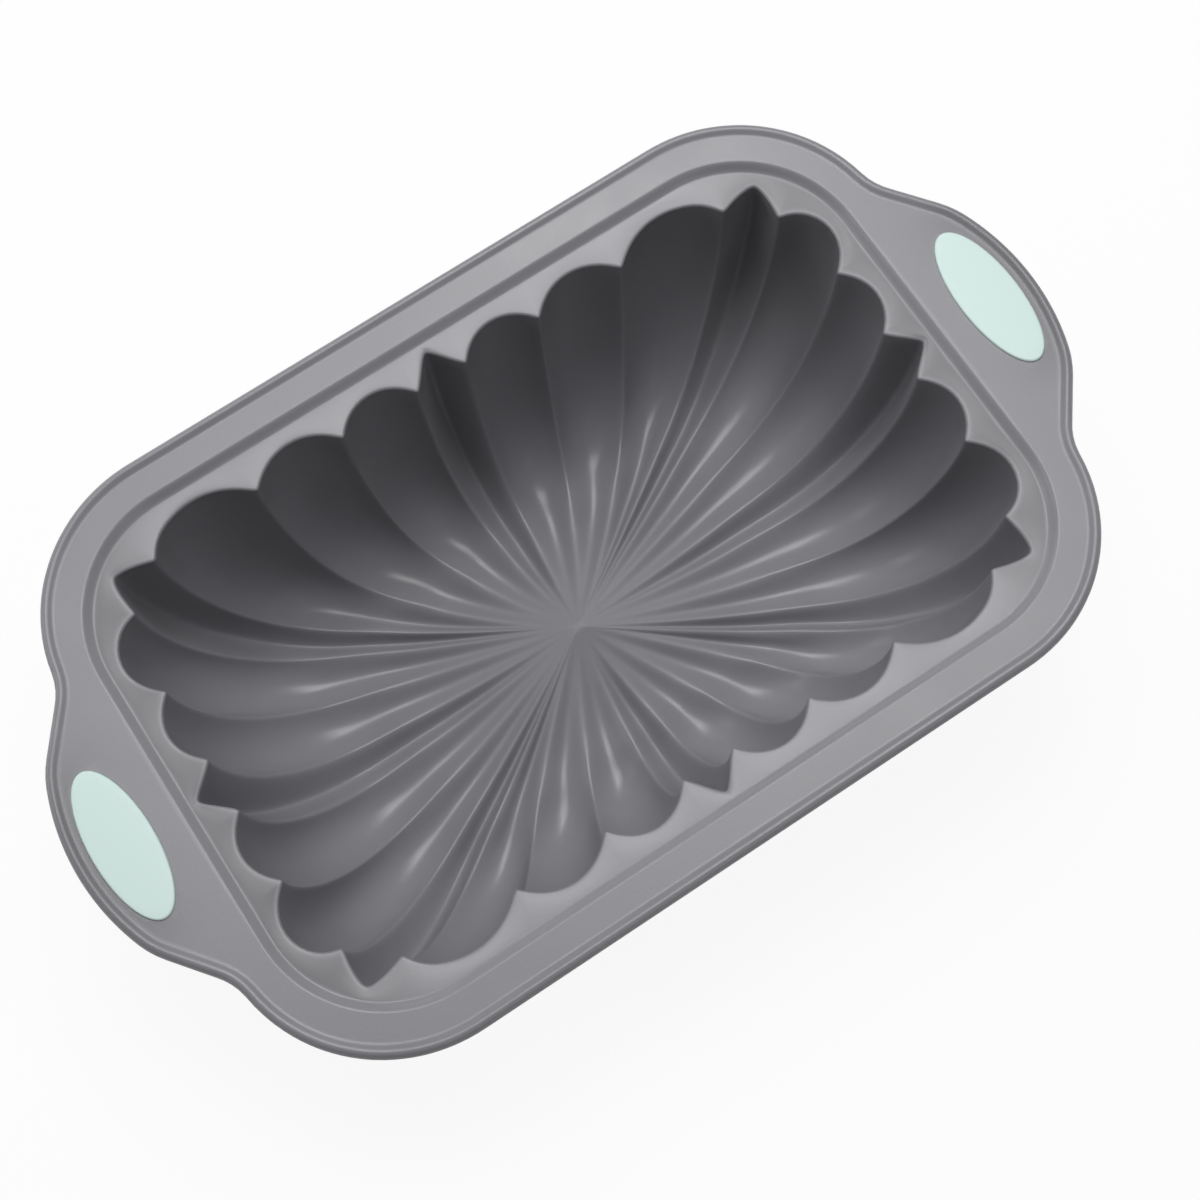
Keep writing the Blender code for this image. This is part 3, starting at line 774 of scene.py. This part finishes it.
    # Painted light pales the rolled edge, where it would be in shade
    edge_level = underside + (crest - underside) * 0.5 * (1.0 + formula.math("COSINE", half))
    sheets.append(formula.grid(EDGE_ROWS, rim_at(edge * (1.0 - rubbed), edge_level),
                               handle_shade * (1.0 - rubbed) - edge_painted_light * rubbed))
    fillet_share = formula.call(wall_level, Angle=angle_at(fillet - underside))[0]
    out = formula.call(grown, Place=place, Share=fillet_share, Growth=wall + fillet)
    foot = fluted((fillet_share, 0.0 - underside, 0.0), out)
    below = formula.between(rim_at(edge, underside), foot, eased)
    sheets.append(formula.grid(UNDERSIDE_ROWS, below))
    growth = wall + fillet * (1.0 - formula.math("SINE", quarter))
    out = formula.call(grown, Place=place, Share=fillet_share, Growth=growth)
    down = fillet * (1.0 - formula.math("COSINE", quarter)) - underside
    sheets.append(formula.grid(FILLET_ROWS, fluted((fillet_share, down, 0.0), out)))

    # Outer wall and floor, cut flat where the pan stands
    start = angle_at(fillet - underside)
    level = formula.call(wall_level, Angle=start + row * (QUARTER_TURN - start))
    blend = formula.smoothstep(row, 0.0, OUTER_WALL_BLEND)
    out = formula.call(grown, Place=place, Share=level[0], Growth=wall)
    level = (level[0], level[1], level[2] * blend)
    sheets.append(formula.grid(OUTER_WALL_ROWS, fluted(level, out, cut=True)))
    level = floor_level(1.0 - row)
    out = formula.call(grown, Place=place, Share=level[0], Growth=wall)
    sheets.append(formula.grid(OUTER_FLOOR_ROWS, fluted(level, out, cut=True)))

    joined = formula.node("GeometryNodeJoinGeometry")
    for sheet in reversed(sheets):
        formula.tree.links.new(sheet.socket, joined.inputs[0])
    mesh = Term(formula, joined.outputs[0])
    mesh = formula.result("GeometryNodeMergeByDistance", {"Geometry": mesh, "Distance": WELD})
    for kind in ("GeometryNodeFlipFaces", "GeometryNodeSetShadeSmooth",
                 "GeometryNodeRealizeInstances"):
        mesh = formula.result(kind, {0: mesh})
    mesh = formula.result("GeometryNodeSetMaterial", {"Geometry": mesh, "Material": material})
    formula.give(Geometry=mesh)
    return formula


def handle_arcs(sizes, corner_x, corner_y):
    """Return the centres, radii and limits of the handle's arcs, by input name."""
    end = Vector((PAN_HIGH.x - sizes.handle_end, 0.0))
    heading = sizes.handle_end_angle
    first = end + sizes.handle_end * Vector((math.cos(heading), math.sin(heading)))
    corner = end + (sizes.handle_end - sizes.handle_corner) * Vector(
        (math.cos(heading), math.sin(heading)))
    heading += sizes.handle_corner_turn
    out = Vector((math.cos(heading), math.sin(heading)))
    along = Vector((-math.sin(heading), math.cos(heading)))
    second = corner + sizes.handle_corner * out

    # The flank runs straight until the neck's arc just touches the rim's corner
    rim = Vector((corner_x, corner_y))
    neck = second + sizes.handle_neck * out
    apart = sizes.rim_corner + sizes.handle_neck
    back = (neck - rim).dot(along)
    flank = -back - math.sqrt(back ** 2 - (neck - rim).length_squared + apart ** 2)
    neck = neck + flank * along
    third = second + flank * along
    join_angle = math.atan2(neck.y - rim.y, neck.x - rim.x)
    return {
        "Handle End X": end.x, "Handle End Y": 0.0, "Handle End radius": sizes.handle_end,
        "Handle End limit": first.y,
        "Handle Corner X": corner.x, "Handle Corner Y": corner.y,
        "Handle Corner radius": sizes.handle_corner, "Handle Corner limit": second.y,
        "Handle Neck X": neck.x, "Handle Neck Y": neck.y,
        "Handle Neck radius": -sizes.handle_neck, "Handle Neck limit": third.y,
        "Flank X": second.x, "Flank Y": second.y, "Flank slope": along.x / along.y,
        "Flank out X": out.x, "Flank out Y": out.y,
        "Join angle": join_angle, "Join Y": rim.y + sizes.rim_corner * math.sin(join_angle),
    }


def ledge_level(sizes):
    """Return the height of the ledge above the ground."""
    return PAN_HIGH.z - sizes.ledge_sink


# Properties that the moulding's node group takes as they are, by the same name
PASSED_SIZES = (
    "cavity_corner", "cavity_depth", "floor_rise", "wall_turn", "turn_roundness",
    "floor_dip", "floor_power", "flute_fade", "calm_middle", "wavy_share", "sharp_share",
    "ridge_softness", "crest_softness", "long_bulge", "short_bulge", "lip_radius",
    "lip_drop", "wall", "ledge_corner", "ledge_thickness", "step_slope", "step_height",
    "rim_corner", "bead_height", "bead_slope", "edge_roll", "under_fillet",
)
PASSED_TONES = (
    "ledge_end_wear", "ledge_side_painted_sheen", "step_painted_light", "bead_foot_wear",
    "edge_painted_light", "handle_wear",
)


def moulding_inputs(sizes, colours):
    """Return the value of each input of the moulding's node group."""
    half_length = sizes.cavity_length / 2
    half_width = sizes.cavity_width / 2
    quarter = half_length + half_width + sizes.cavity_corner * (QUARTER_TURN - 2)
    corner_x = sizes.shoulder_length / 2 - sizes.rim_corner
    corner_y = PAN_HIGH.y - sizes.rim_corner
    inputs = {
        "Half length": half_length, "Half width": half_width,
        "Quarter outline": quarter, "Mean half size": (half_length + half_width) / 2,
        "Ledge half length": sizes.ledge_length / 2, "Ledge half width": sizes.ledge_width / 2,
        "Ledge height": ledge_level(sizes), "Base": PAN_LOW.z,
        "Rim corner X": corner_x, "Rim corner Y": corner_y, "Rim half width": PAN_HIGH.y,
    }
    for group, names in ((sizes, PASSED_SIZES), (colours, PASSED_TONES)):
        for name in names:
            inputs[name.replace("_", " ").capitalize()] = getattr(group, name)
    for index in range(FLUTE_COUNT):
        inputs[f"Flute {index + 1} width"] = sizes.flute_widths[index]
        inputs[f"Flute {index + 1} depth"] = sizes.flute_depths[index]
    inputs.update(handle_arcs(sizes, corner_x, corner_y))
    return inputs


def linked(item):
    """Put an object into the scene's collection, and return it."""
    bpy.context.scene.collection.objects.link(item)
    return item


def baked(item, name):
    """Return a plain mesh object of an evaluated object, and remove the live one."""
    graph = bpy.context.evaluated_depsgraph_get()
    mesh = bpy.data.meshes.new_from_object(item.evaluated_get(graph))
    mesh.name = name
    bpy.data.objects.remove(item, do_unlink=True)
    return linked(bpy.data.objects.new(name, mesh))


def grown_by_nodes(formula, name, inputs):
    """Run a node group on an empty mesh, and return the finished object."""
    item = linked(bpy.data.objects.new(name, bpy.data.meshes.new(name)))
    modifier = item.modifiers.new(formula.tree.name, "NODES")
    modifier.node_group = formula.tree
    for socket in formula.tree.interface.items_tree:
        if socket.in_out == "INPUT" and socket.name in inputs:
            modifier[socket.identifier] = inputs[socket.name]
    return baked(item, name)


def add_post(model, centre, half_x, half_y, low, high, steps):
    """Add an upright post of elliptic section to a bmesh."""
    placed = Matrix.Translation((centre[0], centre[1], (low + high) / 2))
    sized = Matrix.Diagonal((half_x, half_y, high - low, 1.0))
    bmesh.ops.create_cone(model, cap_ends=True, segments=steps, radius1=1.0, radius2=1.0,
                          depth=1.0, matrix=placed @ sized)


def mesh_object(name, model):
    """Turn a bmesh with its faces pointing out into an object."""
    bmesh.ops.recalc_face_normals(model, faces=model.faces)
    mesh = bpy.data.meshes.new(name)
    model.to_mesh(mesh)
    model.free()
    return linked(bpy.data.objects.new(name, mesh))


def bridge(model, rings):
    """Join neighbouring rings of vertices of a bmesh by faces."""
    for low, high in zip(rings, rings[1:]):
        for step in range(len(low)):
            after = (step + 1) % len(low)
            model.faces.new((low[step], low[after], high[after], high[step]))


def rounded_path(half_x, half_y, radius, steps):
    """Return a closed path with rounded corners, as points with no height."""
    points = []
    for quarter, (side_x, side_y) in enumerate(((1, 1), (-1, 1), (-1, -1), (1, -1))):
        for step in range(steps + 1):
            angle = QUARTER_TURN * (quarter + step / steps)
            points.append((side_x * (half_x - radius) + radius * math.cos(angle),
                           side_y * (half_y - radius) + radius * math.sin(angle)))
    return points


def channel_cutter(sizes):
    """Return the cutter of the steel ring's channel."""
    gap = sizes.clearance
    outer = (RING_HIGH.x + gap, RING_HIGH.y + gap)
    corner = sizes.rim_corner - (PAN_HIGH.y - outer[1])
    width = sizes.ring_width + 2 * gap
    model = bmesh.new()
    loops = []
    for inset, height in ((width, RING_LOW.z - gap), (0.0, RING_LOW.z - gap),
                          (0.0, RING_HIGH.z + gap), (width, RING_HIGH.z + gap)):
        path = rounded_path(outer[0] - inset, outer[1] - inset, corner - inset, CHANNEL_STEPS)
        loops.append([model.verts.new((x, y, height)) for x, y in path])
    bridge(model, loops + loops[:1])
    return mesh_object("channel_cutter", model)


def hole_cutter(sizes):
    """Return the cutter of the holes under the steel ring."""
    model = bmesh.new()
    middle_x = RING_HIGH.x - sizes.ring_width / 2
    middle_y = RING_HIGH.y - sizes.ring_width / 2
    bottom = ledge_level(sizes) - sizes.ledge_thickness - OVERRUN
    top = (RING_LOW.z + RING_HIGH.z) / 2
    radius = sizes.pin_hole / 2
    for side in (1, -1):
        for half in (1, -1):
            for centre in ((half * sizes.long_pin_spacing / 2, side * middle_y),
                           (side * middle_x, half * sizes.short_pin_spacing / 2)):
                add_post(model, centre, radius, radius, bottom, top, HOLE_STEPS)
    return mesh_object("hole_cutter", model)


def recess_cutter(sizes):
    """Return the cutter of the recesses of both grips."""
    model = bmesh.new()
    centre = (GRIP_LOW + GRIP_HIGH) / 2
    half = (GRIP_HIGH - GRIP_LOW) / 2
    for side in (-1, 1):
        add_post(model, (side * centre.x, centre.y), half.x + sizes.grip_gap,
                 half.y + sizes.grip_gap, GRIP_LOW.z - sizes.grip_gap,
                 GRIP_HIGH.z + OVERRUN, GRIP_STEPS)
    return mesh_object("recess_cutter", model)


def cut_out(item, cutters):
    """Take the cutters away from an object, and return the plain result."""
    name = item.name
    for cutter in cutters:
        modifier = item.modifiers.new(cutter.name, "BOOLEAN")
        modifier.operation = "DIFFERENCE"
        modifier.solver = "EXACT"
        modifier.object = cutter
    result = baked(item, name)
    for cutter in cutters:
        bpy.data.objects.remove(cutter, do_unlink=True)
    return result


def finish_piece(item, material, node):
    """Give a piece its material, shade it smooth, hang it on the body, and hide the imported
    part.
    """
    item.data.materials.clear()
    item.data.materials.append(material)
    item.data.shade_smooth()
    item.data.set_sharp_from_angle(angle=SHARP_ANGLE)
    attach(item, BODY)
    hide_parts(node)


def shader_node(tree, kind, place, **settings):
    """Add a node to a shader tree at a place of a coarse grid."""
    node = tree.nodes.new(kind)
    node.location = (place[0] * SHADER_SPACING.x, place[1] * SHADER_SPACING.y)
    for name, value in settings.items():
        setattr(node, name, value)
    return node


def moulded_surface_group():
    """Return the group of a moulded silicone surface: colour, roughness and normal."""
    formula = Formula("Moulded surface", "ShaderNodeTree")
    for name, default in (
            ("Colour", (0.5, 0.5, 0.5, 1.0)), ("Mottle", 0.06), ("Mottle size", 0.02),
            ("Edge fade", 0.02), ("Painted shading", 0.0), ("Roughness", 0.45),
            ("Roughness spread", 0.08), ("Matt", 0.0), ("Matt roughness", 0.24),
            ("Grain size", 0.0006), ("Grain depth", 0.00002)):
        formula.size(name, default)
    base, mottle, mottle_size, edge_fade, wear = formula.sizes(
        "Colour", "Mottle", "Mottle size", "Edge fade", "Painted shading")
    roughness, roughness_spread, matt, matt_roughness = formula.sizes(
        "Roughness", "Roughness spread", "Matt", "Matt roughness")
    grain_size, grain_depth = formula.sizes("Grain size", "Grain depth")
    place = formula.result("ShaderNodeTexCoord", {}, output="Object")

    def noise(size, detail):
        """Return a noise of a size."""
        return formula.result("ShaderNodeTexNoise",
                              {"Vector": place, "Scale": 1.0 / size, "Detail": detail})

    def spread(value, amount):
        """Return a value from -amount to amount, made from a noise."""
        return (value - 0.5) * 2.0 * amount

    # Colour: soft mottling, edges that are a little paler, and painted shade and light
    pointed = formula.result("ShaderNodeNewGeometry", {}, output="Pointiness")
    low, high = EDGE_POINTINESS
    edges = formula.result("ShaderNodeMapRange",
                           {"Value": pointed, "From Min": low, "From Max": high})
    factor = spread(noise(mottle_size, MOTTLE_DETAIL), mottle) + (edges * edge_fade - wear) + 1.0
    tinted = formula.result("ShaderNodeVectorMath", {0: base, "Scale": factor},
                            operation="SCALE")

    # Roughness: handled patches against fresh ones, and parts rubbed matt
    rubbed = formula.math("MULTIPLY_ADD", matt, matt_roughness, roughness)
    rough = rubbed + spread(noise(mottle_size, PATCH_DETAIL), roughness_spread)

    # Grain of the mould's blasted surface
    grain = formula.result("ShaderNodeBump", {
        "Strength": 1.0, "Height": noise(grain_size, GRAIN_DETAIL), "Distance": grain_depth})
    formula.give(Colour=tinted, Roughness=rough, Normal=grain)
    return formula.tree


def principled(name, values):
    """Return a new material, its tree and its Principled BSDF with values set."""
    material = bpy.data.materials.new(name)
    material.use_nodes = True
    shader = material.node_tree.nodes["Principled BSDF"]
    for socket, value in values.items():
        shader.inputs[socket].default_value = value
    return material, material.node_tree, shader


def silicone_material(name, base, roughness, mottle):
    """Return a silicone material, on the shared moulded surface."""
    material, tree, shader = principled(name, {"IOR": SILICONE_IOR})
    group = bpy.data.node_groups.get("Moulded surface") or moulded_surface_group()
    surface = shader_node(tree, "ShaderNodeGroup", (-2, 0), node_tree=group)
    surface.inputs["Colour"].default_value = (*base, 1.0)
    surface.inputs["Roughness"].default_value = roughness
    surface.inputs["Mottle"].default_value = mottle
    for output, socket in (("Colour", "Base Color"), ("Roughness", "Roughness"),
                           ("Normal", "Normal")):
        tree.links.new(surface.outputs[output], shader.inputs[socket])

    # Painted shade and light on the rim and ledge, and where the floor is rubbed matt
    for row, (attribute, socket) in enumerate(((PAINTED_SHADING, "Painted shading"), (MATT, "Matt"))):
        mark = shader_node(tree, "ShaderNodeAttribute", (-3, row), attribute_name=attribute)
        tree.links.new(mark.outputs["Fac"], surface.inputs[socket])
    return material


def steel_material(base):
    """Return a rolled stainless steel material with fine lengthwise scratches."""
    material, tree, shader = principled(
        "rolled_steel", {"Metallic": 1.0, "Base Color": (*base, 1.0)})
    coordinates = shader_node(tree, "ShaderNodeTexCoord", (-5, 0))
    stretched = shader_node(tree, "ShaderNodeMapping", (-4, 0))
    stretched.inputs["Scale"].default_value = SCRATCH_STRETCH
    scratches = shader_node(tree, "ShaderNodeTexNoise", (-3, 0))
    scratches.inputs["Scale"].default_value = SCRATCH_SCALE
    scratches.inputs["Detail"].default_value = SCRATCH_DETAIL
    rough = shader_node(tree, "ShaderNodeMapRange", (-2, 0))
    rough.inputs["To Min"].default_value, rough.inputs["To Max"].default_value = (
        STEEL_ROUGHNESS)
    link = tree.links.new
    link(coordinates.outputs["Object"], stretched.inputs["Vector"])
    link(stretched.outputs[0], scratches.inputs["Vector"])
    link(scratches.outputs["Fac"], rough.inputs["Value"])
    link(rough.outputs[0], shader.inputs["Roughness"])
    return material


class LOAFPAN_OT_moulding(bpy.types.Operator):
    """Build the fluted silicone moulding with its rim and handles"""

    bl_idname = "loafpan.moulding"
    bl_label = "Build Moulding"

    def execute(self, context):
        sizes = context.scene.loafpan_sizes
        colours = context.scene.loafpan_colours
        silicone = silicone_material("satin_grey_silicone", colours.silicone,
                                     colours.silicone_roughness, PAN_MOTTLE)
        moulding = grown_by_nodes(moulding_group(silicone), "silicone_moulding",
                                  moulding_inputs(sizes, colours))
        moulding = cut_out(moulding, [channel_cutter(sizes), hole_cutter(sizes),
                                      recess_cutter(sizes)])
        finish_piece(moulding, silicone, "pan_body")
        return {"FINISHED"}


def grip_object(name, side, sizes):
    """Return one grip inlay: an elliptic pad with a rounded edge and a low crown."""
    centre = (GRIP_LOW + GRIP_HIGH) / 2
    half = (GRIP_HIGH - GRIP_LOW) / 2
    edge = sizes.grip_edge
    shoulder = GRIP_HIGH.z - sizes.grip_crown
    rings = [(0.0, GRIP_LOW.z), (0.0, shoulder - edge)]
    for step in range(1, GRIP_EDGE_STEPS + 1):
        angle = QUARTER_TURN * step / GRIP_EDGE_STEPS
        rings.append((edge * (1.0 - math.cos(angle)), shoulder - edge * (1.0 - math.sin(angle))))
    model = bmesh.new()
    loops = []
    for inset, height in rings:
        loops.append(ellipse_loop(model, side * centre.x, half.x - inset, half.y - inset, height))
    for step in range(1, GRIP_CROWN_STEPS):
        share = 1.0 - step / GRIP_CROWN_STEPS
        height = shoulder + sizes.grip_crown * (1.0 - share ** 2)
        loops.append(ellipse_loop(model, side * centre.x, (half.x - edge) * share,
                                  (half.y - edge) * share, height))
    bridge(model, loops)
    top = model.verts.new((side * centre.x, 0.0, GRIP_HIGH.z))
    for step in range(GRIP_STEPS):
        model.faces.new((loops[-1][step], loops[-1][(step + 1) % GRIP_STEPS], top))
    model.faces.new(loops[0])
    return mesh_object(name, model)


def ellipse_loop(model, centre_x, half_x, half_y, height):
    """Return a ring of vertices along an ellipse."""
    return [model.verts.new((centre_x + half_x * math.cos(math.tau * step / GRIP_STEPS),
                             half_y * math.sin(math.tau * step / GRIP_STEPS), height))
            for step in range(GRIP_STEPS)]


class LOAFPAN_OT_grips(bpy.types.Operator):
    """Build the two soft grip inlays"""

    bl_idname = "loafpan.grips"
    bl_label = "Build Grips"

    def execute(self, context):
        sizes = context.scene.loafpan_sizes
        colours = context.scene.loafpan_colours
        mint = silicone_material("satin_mint_silicone", colours.grip,
                                 colours.grip_roughness, GRIP_MOTTLE)
        for side, name, node in ((-1, "left_grip_inlay", "grip_left"),
                                 (1, "right_grip_inlay", "grip_right")):
            finish_piece(grip_object(name, side, sizes), mint, node)
        return {"FINISHED"}


class LOAFPAN_OT_steel_ring(bpy.types.Operator):
    """Give the steel ring its rolled finish"""

    bl_idname = "loafpan.steel_ring"
    bl_label = "Finish Steel Ring"

    def execute(self, context):
        steel = steel_material(context.scene.loafpan_colours.steel)
        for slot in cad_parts["rim_frame"].material_slots:
            slot.material = steel
        return {"FINISHED"}


# Camera of the photograph: its place from the middle of the ledge's plane, and
# its own right and down axes
CAMERA_PLACE = Vector((-0.07872, -0.15736, 0.55647))
CAMERA_RIGHT = Vector((0.8352, -0.5495, -0.0227))
CAMERA_DOWN = Vector((-0.5325, -0.7977, -0.2831))
SENSOR = 36.0
NEAREST_SEEN = 10.0 * MM
# Half the side of the studio floor, and how far off the softboxes stand
FLOOR_REACH = 3.0
SOFTBOX_DISTANCE = 1.3
# Heading of the picture's top over the ground, which the softboxes' are counted from
PICTURE_UP = math.atan2(0.8, 0.53)

# Softboxes: name, heading from the top of the picture, counter-clockwise from
# above, height angle, side, power
SOFTBOXES = (
    ("overhead_softbox", 0.0, 72.0, 500.0 * MM, 1.7),
    ("left_overhead_softbox", 45.0, 72.0, 500.0 * MM, 4.4),
    ("right_overhead_softbox", -45.0, 72.0, 500.0 * MM, 4.4),
    ("key_softbox", 0.0, 60.0, 200.0 * MM, 2.4),
    ("back_softbox", 0.0, 50.0, 500.0 * MM, 1.5),
    ("side_softbox", 90.0, 25.0, 500.0 * MM, 2.1),
    ("left_back_softbox", 45.0, 25.0, 500.0 * MM, 1.5),
    ("front_softbox", 225.0, 25.0, 500.0 * MM, 0.9),
)


def add_camera(lens, ledge_height):
    """Add the camera where the photograph was taken from."""
    data = bpy.data.cameras.new("camera")
    data.lens = lens
    data.sensor_width = SENSOR
    data.clip_start = NEAREST_SEEN
    camera = linked(bpy.data.objects.new("camera", data))
    right = CAMERA_RIGHT.normalized()
    up = (-CAMERA_DOWN - right * (-CAMERA_DOWN).dot(right)).normalized()
    turned = Matrix((right, up, right.cross(up))).transposed()
    place = CAMERA_PLACE + Vector((0.0, 0.0, ledge_height))
    camera.matrix_world = Matrix.Translation(place) @ turned.to_4x4()
    bpy.context.scene.camera = camera


def add_softbox(name, heading, height, size, power):
    """Add a square area light that shines at the pan, placed by two angles in degrees."""
    data = bpy.data.lights.new(name, "AREA")
    data.shape = "SQUARE"
    data.size = size
    data.energy = power
    level = math.radians(height)
    turn = PICTURE_UP + math.radians(heading)
    direction = Vector((math.cos(level) * math.cos(turn), math.cos(level) * math.sin(turn),
                        math.sin(level)))
    light = linked(bpy.data.objects.new(name, data))
    light.location = direction * SOFTBOX_DISTANCE
    light.rotation_euler = (-direction).to_track_quat("-Z", "Y").to_euler()


def make_world(fill, backdrop):
    """Light the scene softly from all round, before a pale backdrop."""
    world = bpy.data.worlds.new("studio")
    world.use_nodes = True
    tree = world.node_tree
    tree.nodes.clear()
    seen = shader_node(tree, "ShaderNodeLightPath", (0, 0))
    strength = shader_node(tree, "ShaderNodeMix", (1, 0))
    strength.inputs[2].default_value = fill
    strength.inputs[3].default_value = backdrop
    sky = shader_node(tree, "ShaderNodeBackground", (2, 0))
    out = shader_node(tree, "ShaderNodeOutputWorld", (3, 0))
    tree.links.new(seen.outputs["Is Camera Ray"], strength.inputs[0])
    tree.links.new(strength.outputs[0], sky.inputs["Strength"])
    tree.links.new(sky.outputs[0], out.inputs["Surface"])
    sky.inputs["Color"].default_value = (1.0, 1.0, 1.0, 1.0)
    bpy.context.scene.world = world


def floor_material(base, backdrop, shadow):
    """Return the pale floor, which the camera sees nearly as bright as the backdrop."""
    material, tree, shader = principled("pale_floor", {
        "Base Color": (*base, 1.0), "Roughness": FLOOR_ROUGHNESS, "Specular IOR Level": 0.0})
    seen = shader_node(tree, "ShaderNodeLightPath", (-4, 0))
    hidden = shader_node(tree, "ShaderNodeMath", (-3, 0), operation="MULTIPLY")
    hidden.inputs[1].default_value = 1.0 - shadow
    glow = shader_node(tree, "ShaderNodeEmission", (-3, 2))
    glow.inputs["Strength"].default_value = backdrop
    mix = shader_node(tree, "ShaderNodeMixShader", (2, 0))
    out = tree.nodes["Material Output"]
    tree.links.new(seen.outputs["Is Camera Ray"], hidden.inputs[0])
    tree.links.new(hidden.outputs[0], mix.inputs[0])
    tree.links.new(shader.outputs[0], mix.inputs[1])
    tree.links.new(glow.outputs[0], mix.inputs[2])
    tree.links.new(mix.outputs[0], out.inputs["Surface"])
    return material


class LOAFPAN_OT_studio(bpy.types.Operator):
    """Set up the floor, the lights and the camera"""

    bl_idname = "loafpan.studio"
    bl_label = "Build Studio"

    def execute(self, context):
        studio = context.scene.loafpan_studio
        model = bmesh.new()
        bmesh.ops.create_grid(model, x_segments=1, y_segments=1, size=FLOOR_REACH,
                              matrix=Matrix.Translation((0.0, 0.0, PAN_LOW.z)))
        floor = mesh_object("floor", model)
        floor.data.materials.append(floor_material(context.scene.loafpan_colours.floor,
                                                   studio.backdrop, studio.shadow))
        for name, heading, height, size, power in SOFTBOXES:
            add_softbox(name, heading, height, size, power * studio.light)
        make_world(studio.fill, studio.backdrop)
        add_camera(studio.lens, ledge_level(context.scene.loafpan_sizes))
        context.scene.view_settings.view_transform = "Standard"
        return {"FINISHED"}


class LOAFPAN_PT_build(bpy.types.Panel):
    """Panel that lists the steps and the sizes"""

    bl_idname = "LOAFPAN_PT_build"
    bl_label = "Loaf Pan"
    bl_space_type = "VIEW_3D"
    bl_region_type = "UI"
    bl_category = "Loaf Pan"

    def draw(self, context):
        for operator in OPERATORS:
            self.layout.operator(operator.bl_idname)
        for group in (context.scene.loafpan_sizes, context.scene.loafpan_colours,
                      context.scene.loafpan_studio):
            box = self.layout.box()
            for name in group.__annotations__:
                box.prop(group, name)


OPERATORS = (LOAFPAN_OT_moulding, LOAFPAN_OT_grips, LOAFPAN_OT_steel_ring, LOAFPAN_OT_studio)
GROUPS = (PanSizes, PanColours, StudioSettings)


def register():
    """Register the classes and hang the property groups on the scene."""
    for kind in (*GROUPS, *OPERATORS, LOAFPAN_PT_build):
        bpy.utils.register_class(kind)
    bpy.types.Scene.loafpan_sizes = PointerProperty(type=PanSizes)
    bpy.types.Scene.loafpan_colours = PointerProperty(type=PanColours)
    bpy.types.Scene.loafpan_studio = PointerProperty(type=StudioSettings)


def unregister():
    """Take the property groups and the classes away again."""
    del bpy.types.Scene.loafpan_studio
    del bpy.types.Scene.loafpan_colours
    del bpy.types.Scene.loafpan_sizes
    for kind in (LOAFPAN_PT_build, *OPERATORS, *GROUPS):
        bpy.utils.unregister_class(kind)


def main():
    """Build every piece and the studio."""
    register()
    bpy.ops.loafpan.moulding()
    bpy.ops.loafpan.grips()
    bpy.ops.loafpan.steel_ring()
    bpy.ops.loafpan.studio()


if __name__ == "__main__":
    main()
